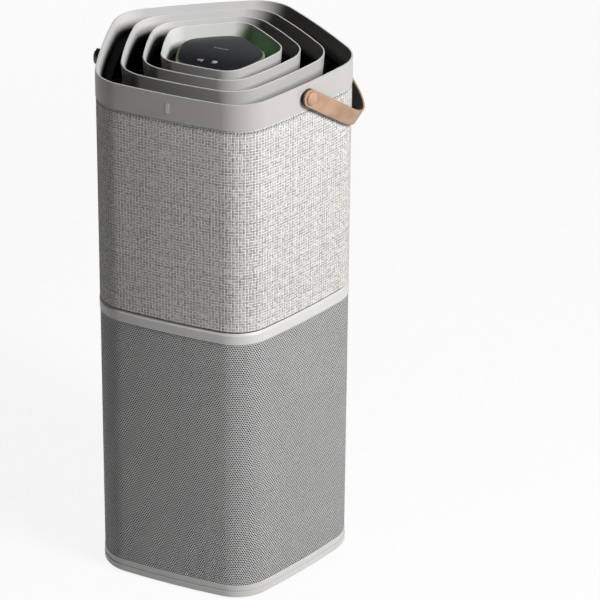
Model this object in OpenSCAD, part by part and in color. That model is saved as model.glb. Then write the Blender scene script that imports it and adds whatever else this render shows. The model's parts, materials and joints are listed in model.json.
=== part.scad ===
// Free-standing room air purifier, a five-sided tower.
// Air enters through the perforated lower cover, passes a drum filter from
// outside to inside, is drawn up by a centrifugal fan behind the fabric
// section and leaves through nested louvre rings on top.
// Origin: centre of the footprint, on the floor. +Z up, front face towards -Y.

/* [Body] */
// Width across the two side corners
body_w = 315; // [300:1:345]
// Height of the rim above the floor
body_h = 688; // [670:1:760]
// Radius of the five vertical corners
corner_r = 52; // [46:1:58]
// How far the middle of each side bows out
side_bulge = 2.2; // [1.2:0.1:3]
// Height of the base band above the floor
base_h = 20; // [18:1:22]
// Height of the perforated lower section's top edge
cover_top = 367; // [355:1:385]
// Height of the plain band between the lower and upper sections
mid_h = 15; // [13:1:18]
// Height of the plain rim at the top
rim_h = 34; // [30:1:40]
// Height of the rubber feet
foot_h = 3; // [2:0.5:5]

/* [Louvre rings] */
// Width of the outer, middle and inner ring across their side corners
ring_w = [249, 193, 148.4];
// Corner radius of the three rings
ring_r = [48, 42, 28];
// How far each ring's top stands above the rim
ring_rise = [2.3, 3.8, 5.6];
// Inward slope of each ring's wall in degrees
ring_slope = [4, 3, 3.5];
// Depth of the channels between the rings, below the rim
channel_depth = 26; // [22:1:30]
// Wall thickness of a ring
ring_t = 2; // [1.6:0.1:2.6]
// Number of radial fins under the rings
fin_count = 60; // [40:5:75]

/* [Display] */
// Width of the glass across its side corners
glass_w = 104.3; // [96:0.5:108]
// Corner radius of the glass
glass_r = 27; // [22:1:30]
// Depth of the glass below the rim's top edge
glass_drop = 3.9; // [2:0.1:6]

/* [Carrying straps] */
// Width of the leather strap
strap_w = 22; // [18:1:24]
// Thickness of the leather strap
strap_t = 4; // [3:0.5:5]
// Thickness of the bosses that hold the strap off the rim
boss_t = 3; // [2.5:0.5:4]
// Rivet height above the floor measured down from the rim's top edge
rivet_drop = 17.8; // [16.5:0.1:18]
// How steeply the strap hangs out and down from its rivets in degrees
strap_droop = 48.7; // [40:0.5:55]
// How far the strap's middle turns edge-on in degrees
strap_twist = 30; // [20:1:34]
// Radius of the strap's bend round the corner
strap_bend = 54.3; // [48:1:56]

/* [Filter] */
// Outer diameter of the pleated filter
filter_d = 240; // [220:1:244]
// Diameter of the filter's open core
core_d = 158; // [140:1:164]
// Height of the filter without its foam seal
filter_h = 264; // [240:1:270]
// Number of pleats
pleats = 90; // [60:5:110]

/* [Fan] */
// Outer diameter of the impeller
impeller_d = 224; // [200:1:228]
// Number of impeller blades
blade_count = 9; // [7:1:12]
// Height of the blades at the outer edge
blade_h = 34; // [30:1:38]
// Radial running gap between the impeller eye and the inlet bell
eye_gap = 2; // [1.5:0.5:3]
// Number of straightening vanes above the impeller
vane_count = 11; // [9:1:13]

/* [Hidden] */
$fn = 72;
eps = 0.01;
corner_steps = 8;
side_steps = 4;
wall = 2.5;
skin = 1.5;
cover_inset = 0.8;
fabric_inset = 0.6;
door_gap = 0.4;
door_h = cover_top - base_h - 2 * door_gap;
screw_r = 1.5;
head_r = 3;

// Plan of the body
half = 36;
corner_c = (body_w / 2 - corner_r) / cos(18);
flat_y = corner_c * cos(half) + corner_r + side_bulge;
corner_angle = [for (k = [0:4]) 90 + 72 * k];
LEFT_FRONT_RIGHT = [1, 2, 3];
REAR = [4, 0];
FRONT_CORNERS = [1, 2, 3, 4];
ALL = [0, 1, 2, 3, 4];

// Heights
mid_top = cover_top + mid_h;
fabric_bottom = mid_top + 2;
rim_bottom = body_h - rim_h;
louvre_bottom = body_h - channel_depth;
guard_bottom = louvre_bottom - 10;
shell_in = fabric_inset + skin + 0.1;
cage_out = cover_inset + skin;
floor_z = foot_h + 3;
rail_top = floor_z + 20;
filter_z = rail_top + 0.2;
seal_h = 4;
deck_z = filter_z + filter_h + seal_h;
deck_t = 4;
plate_z = cover_top + 3;
plate_t = 4;
duct_r = 80;
post_r = 5.5;
post_at = 38;
boss_at = 40;

// Fan heights, counted up from the mid plate
eye_r = 70;
bell_t = 2;
throat_r = eye_r - 2 - bell_t - eye_gap;
eye_z = plate_z + plate_t + 16;
shroud_z = eye_z + 12;
back_z = shroud_z + 10 + blade_h;
rotor_r = 42;
motor_z = back_z - 26;
motor_h = 39;
fan_deck_z = back_z + 34;
hub_r = 62;
tube_r = 124;
tube_top = fan_deck_z + 56;
fan_flange_z = fan_deck_z - 8;
board_z = fan_deck_z + 99;
shaft_r = 4;
bearing_r = 11;
run_gap = 0.03;
fit_gap = 0.1;

// Display stack
glass_t = 2;
glass_z = body_h - glass_drop - glass_t;
guide_w = glass_w + 4.6;
guide_h = 8;
board_up = 9;
tub_w = glass_w + 3.7;

// Straps
rivet_z = body_h - rivet_drop;
strap_c = flat_y + boss_t + strap_t / 2;
shank_r = 3;
cap_r = 8.5;

// ---------- plan helpers ----------

// Radius from a side's far centre to the corner centres
function bow(cc, b) = (pow(cc * sin(half), 2) + b * b) / (2 * b);
// Half the angle that a bowed side spans about its far centre
function bow_angle(cc, b) = asin(cc * sin(half) / bow(cc, b));
// Point at radius r and angle a
function polar(r, a) = [r * cos(a), r * sin(a)];
// Distance from the axis to a rounded pentagon's edge, in direction a
function edge_r(w, r, a) =
    let (
        cc = (w / 2 - r) / cos(18),
        e = ((a - 90 + 36) % 72 + 72) % 72 - 36,
        near_corner = cc * cos(e) + sqrt(max(0, r * r - pow(cc * sin(e), 2))),
        near_side = (cc * cos(half) + r) / cos(half - abs(e))
    )
    min(near_corner, near_side);

// Corner k's arc, off outside the outline, between the two bowed sides' ends
function corner_arc(cc, r, th, k, off) =
    [for (i = [0:corner_steps]) let (a = (half - th) * (2 * i / corner_steps - 1))
        polar(cc, corner_angle[k]) + polar(r + off, corner_angle[k] + a)];
// Side k's arc, without the ends that it shares with its corners unless cut gives
// the length that is taken off its first or second end
function side_arc(cc, r, b, k, off, cut = [0, 0]) =
    let (
        q = bow(cc, b),
        th = bow_angle(cc, b),
        mid = corner_angle[k] + half,
        far = polar(cc * cos(half) - q * cos(th), mid),
        a0 = -th + asin(cut[0] / (q + r)),
        a1 = th - asin(cut[1] / (q + r)),
        from = cut[0] > 0 ? 0 : 1,
        to = cut[1] > 0 ? side_steps : side_steps - 1
    )
    [for (i = [from:to])
        far + polar(q + r + off, mid + a0 + (a1 - a0) * i / side_steps)];
// A whole outline, off outside the pentagon of width w and corner radius r
function outline(w, r, b, off = 0) =
    let (cc = (w / 2 - r) / cos(18), th = bow_angle(cc, b))
    [for (k = [0:4]) each concat(
        corner_arc(cc, r, th, k, off), side_arc(cc, r, b, k, off))];
function body_outline(off = 0) = outline(body_w, corner_r, side_bulge, off);
function reversed(list) = [for (i = [len(list) - 1:-1:0]) list[i]];
// The stretch that the front cover follows: four corners and three sides
function front_run(off) =
    let (th = bow_angle(corner_c, side_bulge))
    concat(
        [for (k = [1:3]) each concat(
            corner_arc(corner_c, corner_r, th, k, off),
            side_arc(corner_c, corner_r, side_bulge, k, off))],
        corner_arc(corner_c, corner_r, th, 4, off)
    );
// The stretch that the rear cover follows: two sides and the back corner
function rear_run(off) =
    let (th = bow_angle(corner_c, side_bulge))
    concat(
        side_arc(corner_c, corner_r, side_bulge, 4, off, [door_gap, 0]),
        corner_arc(corner_c, corner_r, th, 0, off),
        side_arc(corner_c, corner_r, side_bulge, 0, off, [0, door_gap])
    );

// A solid plate of the given outline
module plate(w, r, b, z, h) {
    translate([0, 0, z]) linear_extrude(h) polygon(outline(w, r, b));
}

module body_plate(inset, z, h) {
    translate([0, 0, z]) linear_extrude(h) polygon(body_outline(-inset));
}

// A wall between two insets of an outline
module wall_ring(w, r, b, in0, in1, z, h) {
    translate([0, 0, z]) linear_extrude(h) difference() {
        polygon(outline(w, r, b, -in0));
        polygon(outline(w, r, b, -in1));
    }
}

module body_ring(in0, in1, z, h) {
    wall_ring(body_w, corner_r, side_bulge, in0, in1, z, h);
}

module front_wall(in0, in1, z, h) {
    translate([0, 0, z]) linear_extrude(h)
        polygon(concat(front_run(-in0), reversed(front_run(-in1))));
}

module rear_wall(in0, in1, z, h) {
    translate([0, 0, z]) linear_extrude(h)
        polygon(concat(rear_run(-in0), reversed(rear_run(-in1))));
}

// Carries a closed profile of [offset, height] points round an outline
module profile_ring(w, r, b, profile) {
    rings = [for (p = profile) [for (q = outline(w, r, b, p[0])) [q[0], q[1], p[1]]]];
    m = len(rings);
    n = len(rings[0]);
    polyhedron([for (g = rings, q = g) q], [for (i = [0:m - 1], j = [0:n - 1])
        let (i1 = (i + 1) % m, j1 = (j + 1) % n)
        each [[i * n + j, i1 * n + j, i1 * n + j1], [i * n + j, i1 * n + j1, i * n + j1]]
    ], convexity = 8);
}

// Places children near corner k, dist from its centre and turned from its middle
module at_corner(k, dist, turn = 0) {
    p = polar(corner_c, corner_angle[k]) + polar(dist, corner_angle[k] + turn);
    translate([p[0], p[1], 0]) children();
}

// Places children on the middle of side k: x along the side, y outwards
module on_side(k, dist = 0) {
    mid = corner_angle[k] + half;
    rotate(mid - 90) translate([0, dist, 0]) children();
}

module ring(ro, ri, z, h) {
    translate([0, 0, z]) difference() {
        cylinder(r = ro, h = h);
        translate([0, 0, -1]) cylinder(r = ri, h = h + 2);
    }
}

// A pan-head screw pointing down, its head's underside at z = 0
module screw(length) {
    cylinder(r = head_r, h = 2);
    translate([0, 0, -length]) cylinder(r = screw_r, h = length + eps);
}

// A slot-shaped block with round ends, lying along x, extruded along y
module pill(len_x, len_z, depth) {
    rotate([90, 0, 0]) linear_extrude(depth) {
        square([len_x - len_z, len_z], center = true);
        for (s = [-1, 1]) translate([s * (len_x - len_z) / 2, 0]) circle(d = len_z);
    }
}

// ---------- top ----------

// Rim wall with a rounded lip and an inner face that funnels in towards the louvres
lip = 1.1;
lip_z = body_h - lip;
funnel_r = 63;
funnel_x = -2 * lip - funnel_r;
funnel_t = 2.2;
function funnel(r, z) = [funnel_x + sqrt(r * r - pow(lip_z - z, 2)), z];
hollow_z = lip_z - sqrt(pow(funnel_r + funnel_t, 2) - pow(funnel_r, 2));
rim_profile = concat(
    [[0, rim_bottom], [0, lip_z]],
    [for (a = [45:45:135]) [-lip + lip * cos(a), lip_z + lip * sin(a)]],
    [for (i = [0:5]) funnel(funnel_r, lip_z - (lip_z - louvre_bottom) * i / 5)],
    [for (i = [0:3]) funnel(funnel_r + funnel_t,
        louvre_bottom + (hollow_z - louvre_bottom) * i / 3)],
    [[-2 * lip, rim_bottom]]
);

module each_rivet() {
    for (k = [3, 4, 0, 1]) on_side(k, flat_y) translate([0, 0, rivet_z]) children();
}

module top_rim() {
    color([0.76, 0.75, 0.73]) difference() {
        profile_ring(body_w, corner_r, side_bulge, rim_profile);
        each_rivet() translate([0, 1, 0]) rotate([90, 0, 0]) cylinder(r = shank_r, h = 4);
        window_pill(0);
    }
}

// Slim window for the room-light sensor, on the front of the rim
module window_pill(proud) {
    window_h = 13;
    window_w = 5;
    on_side(2, flat_y + proud) translate([0, 0, body_h - 18]) rotate([0, 90, 0])
        pill(window_h, window_w, 0.6 + proud);
}

module sensor_window() {
    color([0.85, 0.85, 0.84]) window_pill(0.3);
}

module louvre(i) {
    top = body_h + ring_rise[i];
    lean = (top - louvre_bottom) * tan(ring_slope[i]);
    round_r = ring_t / 2;
    profile_ring(ring_w[i], ring_r[i], side_bulge * ring_w[i] / body_w, concat(
        [[-lean - ring_t, louvre_bottom], [-lean, louvre_bottom]],
        [for (a = [0:45:180])
            [-round_r + round_r * cos(a), top - round_r + round_r * sin(a)]]
    ));
}

module outer_louvre() {
    color([0.75, 0.74, 0.72]) louvre(0);
}

module middle_louvre() {
    color([0.75, 0.74, 0.72]) louvre(1);
}

module inner_louvre() {
    color([0.77, 0.77, 0.75]) louvre(2);
}

// Radial finger guard that carries the rings and the display
module outlet_guard() {
    fin_t = 1.6;
    hub_w = 146;
    color([0.05, 0.045, 0.045]) difference() {
        union() {
            body_ring(6, 17, guard_bottom, 10);
            plate(hub_w, 40, 1, guard_bottom, 10);
            for (i = [0:fin_count - 1]) {
                a = 360 * i / fin_count + 3;
                r0 = 64;
                r1 = edge_r(body_w - 20, corner_r - 10, a);
                rotate(a) translate([r0, -fin_t / 2, guard_bottom + 1])
                    cube([r1 - r0, fin_t, 9]);
            }
        }
        for (k = ALL) at_corner(k, boss_at, -30)
            translate([0, 0, guard_bottom - 1]) cylinder(r = screw_r, h = 8);
    }
}

module display_housing() {
    top = glass_z - guide_h;
    color([0.08, 0.08, 0.08]) {
        wall_ring(tub_w, glass_r + 1.8, 0.7, 0, 2, louvre_bottom, top - louvre_bottom);
        wall_ring(tub_w, glass_r + 1.8, 0.7, 1, 5, louvre_bottom, board_up);
        plate(tub_w - 2, glass_r + 0.8, 0.7, louvre_bottom, 2);
    }
}

// Board with the display's lamps
module display_board() {
    z = louvre_bottom + board_up;
    color([0.05, 0.25, 0.12]) plate(tub_w - 5, glass_r - 0.7, 0.7, z, 1.6);
    color([0.1, 0.1, 0.1]) translate([-14, -6, z + 1.6]) cube([28, 12, 3]);
    color([0.8, 0.8, 0.75]) for (i = [0:9])
        rotate(36 * i) translate([34, -1.5, z + 1.6]) cube([3, 3, 1.2]);
}

module light_guide() {
    color([0.75, 0.95, 0.7, 0.8])
        wall_ring(guide_w, glass_r + 2.3, 0.7, 0, 6, glass_z - guide_h, guide_h);
}

module display_glass() {
    color([0.05, 0.055, 0.065]) plate(glass_w, glass_r, 0.7, glass_z, glass_t);
}

// ---------- upper section ----------

// Screw lugs inside the shell's corners: [turn, underside, thickness]
lugs = [[30, mid_top, 3], [30, fan_flange_z - 4, 4], [-30, guard_bottom - 4, 4]];

module upper_shell() {
    lug_r = 6;
    reach = corner_r - boss_at - shell_in - 1;
    color([0.10, 0.10, 0.10]) difference() {
        union() {
            body_ring(shell_in, shell_in + wall, mid_top, louvre_bottom - mid_top);
            for (k = ALL, lug = lugs) at_corner(k, boss_at, lug[0])
                translate([0, 0, lug[1]]) rotate(corner_angle[k] + lug[0]) {
                    cylinder(r = lug_r, h = lug[2]);
                    translate([0, -lug_r, 0]) cube([reach, 2 * lug_r, lug[2]]);
                }
        }
        for (k = ALL, lug = lugs) at_corner(k, boss_at, lug[0])
            translate([0, 0, lug[1] - 1]) cylinder(r = screw_r, h = lug[2] + 2);
    }
}

module fabric_sleeve() {
    color([0.72, 0.71, 0.69])
        body_ring(fabric_inset, shell_in, fabric_bottom, rim_bottom - 0.4 - fabric_bottom);
}

// Smooth central body between the fan hub and the display
module hub_shroud() {
    color([0.12, 0.12, 0.12]) {
        ring(hub_r, hub_r - wall, tube_top, guard_bottom - tube_top);
        ring(hub_r - wall + eps, hub_r - 8, board_z - 3, 3);
        ring(hub_r - wall + eps, hub_r - 8, guard_bottom - 3, 3);
    }
}

module control_board() {
    top = board_z + 1.6;
    color([0.05, 0.25, 0.12]) translate([0, 0, board_z]) cylinder(r = 56, h = 1.6);
    color([0.1, 0.1, 0.1]) {
        translate([-12, 8, top]) cube([16, 16, 1.6]);
        translate([14, -20, top]) cube([10, 14, 2]);
    }
    color([0.85, 0.85, 0.8]) for (i = [0:3])
        translate([-38 + 14 * i, -38, top]) cube([10, 6, 7]);
}

// Mains board under the control board, inside the fan hub
module power_board() {
    z = fan_deck_z + 24;
    color([0.08, 0.22, 0.1]) ring(56, 9, z, 1.6);
    color([0.15, 0.15, 0.16]) translate([14, -14, z + 1.6]) cube([28, 28, 22]);
    color([0.2, 0.2, 0.25]) for (p = [[-30, 18], [-30, -18]])
        translate([p[0], p[1], z + 1.6]) cylinder(d = 16, h = 26);
    color([0.6, 0.6, 0.62]) translate([-14, 34, z + 1.6]) cube([26, 8, 18]);
}

// Fan deck with the tube that the air rises in
module fan_housing() {
    color([0.13, 0.13, 0.13]) difference() {
        union() {
            difference() {
                body_plate(5, fan_flange_z, 3);
                translate([0, 0, fan_flange_z - 1]) cylinder(r = tube_r, h = 5);
            }
            ring(tube_r + wall, tube_r, fan_flange_z, tube_top - fan_flange_z);
        }
        for (k = ALL) at_corner(k, boss_at, 30)
            translate([0, 0, fan_flange_z - 1]) cylinder(r = screw_r, h = 5);
    }
}

// Motor hub, held in the tube by its straightening vanes
module fan_hub() {
    vane_h = 46;
    color([0.13, 0.13, 0.13]) difference() {
        union() {
            ring(hub_r, hub_r - wall, fan_deck_z, tube_top - fan_deck_z);
            translate([0, 0, fan_deck_z]) cylinder(r = hub_r - 1, h = 3);
            ring(hub_r - wall + eps, hub_r - 9, fan_deck_z + 20, 4);
            intersection() {
                for (i = [0:vane_count - 1]) rotate(360 * i / vane_count)
                    translate([(hub_r + tube_r) / 2, 0, fan_deck_z + 32])
                        rotate([24, 0, 0])
                            cube([tube_r - hub_r + 2, 2, vane_h], center = true);
                translate([0, 0, fan_deck_z])
                    cylinder(r = tube_r - fit_gap, h = tube_top - fan_deck_z);
            }
        }
        translate([0, 0, fan_deck_z - 1]) cylinder(r = 8, h = 5);
        for (i = [0:3]) rotate(45 + 90 * i)
            translate([24, 0, fan_deck_z - 1]) cylinder(r = screw_r, h = 5);
    }
}

// ---------- motor ----------

bore_z0 = motor_z + 8;
bore_z1 = fan_deck_z;

module motor_base() {
    color([0.6, 0.6, 0.62]) difference() {
        union() {
            translate([0, 0, fan_deck_z - 6]) cylinder(r = rotor_r - 1, h = 6);
            translate([0, 0, bore_z0]) cylinder(r = bearing_r + 3, h = bore_z1 - bore_z0);
        }
        translate([0, 0, bore_z0 - 1]) cylinder(r = bearing_r, h = bore_z1 - bore_z0 - 3);
        translate([0, 0, bore_z0]) cylinder(r = shaft_r + 1, h = bore_z1 - bore_z0 + 1);
        for (i = [0:3]) rotate(45 + 90 * i)
            translate([24, 0, fan_deck_z - 7]) cylinder(r = screw_r, h = 8);
    }
}

core_z = motor_z + 12;
core_h = 24;
tooth_count = 9;

// Laminated stator with its pole shoes
shoe_r = rotor_r - 5.2;
shoe_half = 14;
tooth_w = 6;
tooth = concat(
    [[bearing_r + 6, -tooth_w / 2], [shoe_r - 4, -tooth_w / 2], polar(shoe_r - 2.5, 2 - shoe_half)],
    [for (i = [0:6]) polar(shoe_r, shoe_half * (i / 3 - 1))],
    [polar(shoe_r - 2.5, shoe_half - 2), [shoe_r - 4, tooth_w / 2], [bearing_r + 6, tooth_w / 2]]
);

module motor_core() {
    color([0.45, 0.46, 0.48]) translate([0, 0, core_z]) linear_extrude(core_h) difference() {
        union() {
            circle(r = bearing_r + 8);
            for (i = [0:tooth_count - 1]) rotate(360 * i / tooth_count) polygon(tooth);
        }
        circle(r = bearing_r + 3);
    }
}

module motor_windings() {
    r0 = bearing_r + 9;
    r1 = rotor_r - 9.8;
    coil_t = 2.2;
    color([0.72, 0.38, 0.18]) for (i = [0:tooth_count - 1])
        rotate(360 * i / tooth_count) difference() {
            translate([r0, -tooth_w / 2 - coil_t, core_z - coil_t])
                cube([r1 - r0, tooth_w + 2 * coil_t, core_h + 2 * coil_t]);
            translate([r0 - 1, -tooth_w / 2, core_z]) cube([r1 - r0 + 2, tooth_w, core_h]);
        }
}

module motor_bearings() {
    color([0.75, 0.75, 0.77]) for (z = [bore_z0 + 1, bore_z1 - 12])
        ring(bearing_r, shaft_r + run_gap, z, 7);
}

module motor_shaft() {
    color([0.8, 0.8, 0.82])
        translate([0, 0, motor_z - 4]) cylinder(r = shaft_r, h = fan_deck_z + 2 - motor_z);
}

module motor_bell() {
    color([0.5, 0.5, 0.52]) {
        ring(rotor_r, rotor_r - 2, motor_z, motor_h);
        ring(rotor_r, shaft_r, motor_z, 3);
        ring(shaft_r + 4, shaft_r, motor_z - 3, 3 + eps);
    }
}

module motor_magnets() {
    color([0.2, 0.2, 0.22]) ring(rotor_r - 2, rotor_r - 4.5, motor_z + 5, motor_h - 7);
}

// ---------- fan ----------

// Backward-curved blade outline between the eye and the rim
function blade_point(t, side) =
    let (r = 62 + (impeller_d / 2 - 63) * t, a = -38 * t - 10 * t * t)
    polar(r, a + side * 57.3 / r);

// Eye collar that flares into the shroud under the blades
ring_top = [[eye_r - 2, 10.5], [eye_r + 4, 14.5], [impeller_d / 2, 22.5]];

module impeller_ring() {
    color([0.82, 0.82, 0.82]) translate([0, 0, eye_z]) rotate_extrude() polygon(concat(
        [[eye_r - 2, 0], [eye_r, 0], [eye_r, 9], [eye_r + 5, 12.5]],
        [[impeller_d / 2, 20.5]], reversed(ring_top)
    ));
}

module impeller() {
    r1 = impeller_d / 2;
    hub = rotor_r + 2.5;
    color([0.82, 0.82, 0.82]) {
        ring(r1, hub - 1, back_z, 2.5);
        ring(hub, rotor_r, motor_z - 3, back_z + 2.5 - motor_z + 3);
        ring(hub, shaft_r + 4, motor_z - 3, 3);
        difference() {
            for (i = [0:blade_count - 1]) rotate(360 * i / blade_count)
                translate([0, 0, eye_z + 10]) linear_extrude(back_z - eye_z - 9)
                    polygon(concat(
                        [for (i = [0:10]) blade_point(i / 10, 1)],
                        [for (i = [10:-1:0]) blade_point(i / 10, -1)]
                    ));
            translate([0, 0, eye_z + fit_gap]) rotate_extrude() polygon(concat(
                [[eye_r - 2 - fit_gap, 0]], ring_top, [[r1 + 3, 22.5], [r1 + 3, 0]]
            ));
        }
    }
}

// Bell mouth that leads the air into the impeller's eye
module inlet_bell() {
    h = eye_z + 5 - plate_z - plate_t;
    flare = duct_r - throat_r;
    t = bell_t;
    color([0.15, 0.15, 0.15]) translate([0, 0, plate_z + plate_t])
        rotate_extrude() polygon(concat(
            [for (a = [0:10:90]) [duct_r - flare * sin(a), h * (1 - cos(a))]],
            [for (a = [90:-10:0]) [duct_r - (flare - t) * sin(a), h - (h - t) * cos(a)]],
            [[duct_r + 16, t], [duct_r + 16, 0]]
        ));
}

module inlet_guard() {
    guard_r = duct_r - 2;
    color([0.12, 0.12, 0.12]) {
        ring(guard_r, guard_r - 4, plate_z, 3);
        for (r = [62, 47, 32]) ring(r, r - 2, plate_z, 3);
        translate([0, 0, plate_z]) cylinder(r = 14, h = 3);
        for (i = [0:5]) rotate(60 * i)
            translate([12, -1.25, plate_z]) cube([guard_r - 13, 2.5, 3]);
    }
}

// Laser particle sensor beside the bell, on the mid plate
module particle_sensor() {
    z = plate_z + plate_t;
    at_corner(1, 5) translate([0, 0, z]) rotate(corner_angle[1]) {
        color([0.55, 0.56, 0.58]) difference() {
            translate([-19, -19, 0]) cube([38, 38, 12]);
            translate([-20, -10, 4]) cube([6, 5, 5]);
        }
        color([0.9, 0.9, 0.88]) translate([-6, 19, 2]) cube([12, 4, 5]);
    }
}

// ---------- middle ----------

// Band whose top edge slopes in under the fabric, and the plate across it
module mid_ring() {
    color([0.77, 0.76, 0.74]) difference() {
        union() {
            profile_ring(body_w, corner_r, side_bulge, [
                [-6, cover_top], [0, cover_top], [0, mid_top - 3], [-2.6, mid_top], [-6, mid_top]
            ]);
            body_plate(5.5, plate_z, plate_t);
            for (k = ALL) at_corner(k, boss_at, 30) translate([0, 0, plate_z])
                cylinder(r = 4.5, h = mid_top - plate_z);
        }
        translate([0, 0, plate_z - 1]) cylinder(r = duct_r - 2, h = plate_t + 2);
        for (k = ALL) at_corner(k, boss_at, 30) translate([0, 0, plate_z + 1])
            cylinder(r = screw_r, h = mid_h);
        for (k = FRONT_CORNERS) at_corner(k, post_at) translate([0, 0, plate_z - 1])
            cylinder(r = screw_r, h = plate_t + 2);
    }
}

module intake_duct() {
    z = deck_z + deck_t;
    color([0.2, 0.2, 0.2]) ring(duct_r + wall, duct_r, z, plate_z - z);
}

// Deck that the filter seals against from below
module filter_deck() {
    block_y = corner_c + corner_r - 5;
    color([0.25, 0.25, 0.26]) difference() {
        union() {
            body_plate(5, deck_z, deck_t);
            translate([-12, block_y - 12, deck_z]) cube([24, 9, 20]);
        }
        translate([0, 0, deck_z - 1]) cylinder(r = duct_r, h = deck_t + 2);
        for (k = FRONT_CORNERS) at_corner(k, post_at)
            translate([0, 0, deck_z - 1]) cylinder(r = post_r, h = deck_t + 2);
        translate([0, block_y - 6, deck_z + 12]) rotate([-90, 0, 0])
            cylinder(r = 6, h = 6);
    }
}

// ---------- lower section ----------

// Three stacked windows in each listed side
module cover_windows(sides, width) {
    rows = 3;
    pitch = (cover_top - base_h - 24) / rows;
    for (k = sides, i = [0:rows - 1])
        on_side(k, flat_y - 30)
            translate([-width / 2, 0, base_h + 18 + pitch * i])
                cube([width, 40, pitch - 12]);
}

// Cage behind the perforated cover: rails, mullions and four posts
module lower_frame() {
    color([0.2, 0.2, 0.2]) difference() {
        union() {
            difference() {
                front_wall(cage_out, 5, base_h, cover_top - base_h);
                cover_windows(LEFT_FRONT_RIGHT, 116);
            }
            for (k = FRONT_CORNERS) at_corner(k, post_at)
                translate([0, 0, floor_z]) cylinder(r = post_r, h = plate_z - floor_z);
            for (k = FRONT_CORNERS, z = [base_h + 6, cover_top - 20])
                at_corner(k, post_at) rotate(corner_angle[k])
                    translate([3, -2, z]) cube([post_r + 3, 4, 12]);
        }
        for (k = FRONT_CORNERS) at_corner(k, post_at) {
            translate([0, 0, floor_z - 1]) cylinder(r = screw_r, h = 15);
            translate([0, 0, plate_z - 14]) cylinder(r = screw_r, h = 15);
        }
    }
}

module front_cover() {
    color([0.55, 0.54, 0.52])
        front_wall(cover_inset, cage_out, base_h, cover_top - base_h);
}

module rear_cover() {
    color([0.55, 0.54, 0.52])
        rear_wall(cover_inset, cage_out, base_h + door_gap, door_h);
}

magnet_z = deck_z + 12;

module rear_cover_frame() {
    color([0.2, 0.2, 0.2]) difference() {
        rear_wall(cage_out, 4.7, base_h + door_gap, door_h);
        cover_windows(REAR, 116);
        translate([0, corner_c + corner_r - 8, magnet_z]) rotate([-90, 0, 0])
            cylinder(r = 6, h = 8 - cage_out - 0.6);
    }
}

// Leather tab that pulls the rear cover off
module cover_pull() {
    color([0.72, 0.5, 0.33]) translate(polar(corner_c, 90)) rotate(90 - 13)
        rotate_extrude(angle = 26) translate([corner_r - cover_inset, cover_top - 34])
            square([2.2, 30]);
}

module cover_magnets() {
    color([0.6, 0.6, 0.62]) translate([0, corner_c + corner_r - 4.9, magnet_z])
        rotate([-90, 0, 0]) cylinder(r = 6, h = 2);
}

module frame_magnets() {
    color([0.6, 0.6, 0.62]) translate([0, corner_c + corner_r - 11, magnet_z])
        rotate([-90, 0, 0]) cylinder(r = 6, h = 3);
}

// ---------- base ----------

socket_w = 20;
socket_h = 11;
socket_z = floor_z + 6.2;

module base_pan() {
    groove_z = foot_h + 8;
    rail_x = 70;
    color([0.77, 0.76, 0.74]) difference() {
        union() {
            body_ring(0, 3.5, foot_h, groove_z - foot_h);
            body_ring(1.2, 3.5, groove_z - eps, 1 + 2 * eps);
            body_ring(0.4, 3.5, groove_z + 1, base_h - groove_z - 1);
            body_plate(3, foot_h, floor_z - foot_h);
            for (s = [-1, 1]) translate([s * rail_x - 3, -96, floor_z - eps])
                cube([6, 192, rail_top - floor_z + eps]);
        }
        for (k = FRONT_CORNERS) at_corner(k, post_at) {
            translate([0, 0, foot_h - 1]) cylinder(r = screw_r, h = 6);
            translate([0, 0, foot_h - 1]) cylinder(r = head_r, h = 3);
        }
        on_side(0, flat_y + 1) translate([0, 0, socket_z]) pill(socket_w, socket_h, 6);
    }
}

module feet() {
    color([0.08, 0.08, 0.08]) {
        for (k = ALL) at_corner(k, 12) cylinder(r1 = 10, r2 = 11, h = foot_h);
        cylinder(r1 = 10, r2 = 11, h = foot_h);
    }
}

// Two-pole appliance inlet at the back of the base
module power_socket() {
    color([0.06, 0.06, 0.06]) difference() {
        on_side(0, flat_y - 0.4) translate([0, 0, socket_z]) pill(socket_w, socket_h, 22);
        on_side(0, flat_y + 1) translate([0, 0, socket_z]) pill(14.4, 7.6, 15);
        for (s = [-1, 1]) on_side(0, flat_y - 12) translate([s * 4.3, 0, socket_z])
            rotate([90, 0, 0]) cylinder(r = 1.2, h = 8);
    }
}

module socket_pins() {
    color([0.8, 0.75, 0.5]) for (s = [-1, 1]) on_side(0, flat_y - 5)
        translate([s * 4.3, 0, socket_z]) rotate([90, 0, 0]) cylinder(r = 1.2, h = 15);
}

// ---------- filter ----------

filter_r = filter_d / 2;
core_r = core_d / 2;
cap_h = 12;
media_z = filter_z + 4;
media_h = filter_h - 8;

module filter_media() {
    r0 = core_r + 3.3;
    color([0.82, 0.83, 0.84]) difference() {
        translate([0, 0, media_z]) linear_extrude(media_h)
            polygon([for (i = [0:pleats - 1], s = [0, 1])
                polar(filter_r - 2 - 3.5 * s, 360 * (i + s / 2) / pleats)]);
        translate([0, 0, media_z - 1]) cylinder(r = r0, h = media_h + 2);
    }
}

// Outline of an end cap: a round cap with a wide grip at the back
module cap_outline(grip_r, grip_w) {
    circle(r = filter_r);
    intersection() {
        circle(r = grip_r);
        translate([-grip_w / 2, 0]) square([grip_w, grip_r + 1]);
    }
}

// A cap whose rim holds the media's end and whose grip is hollow on the same side
module filter_cap(z, open_z) {
    color([0.30, 0.31, 0.32]) difference() {
        translate([0, 0, z]) linear_extrude(cap_h) cap_outline(filter_r + 24, 96);
        translate([0, 0, z - 1]) cylinder(r = core_r, h = cap_h + 2);
        translate([0, 0, open_z]) cylinder(r = filter_r - 1.5, h = cap_h - 4 + 1);
        translate([0, 0, open_z]) rotate(90 - 17) rotate_extrude(angle = 34)
            translate([filter_r + 2, 0]) square([18.5, cap_h - 4 + 1]);
    }
}

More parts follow.
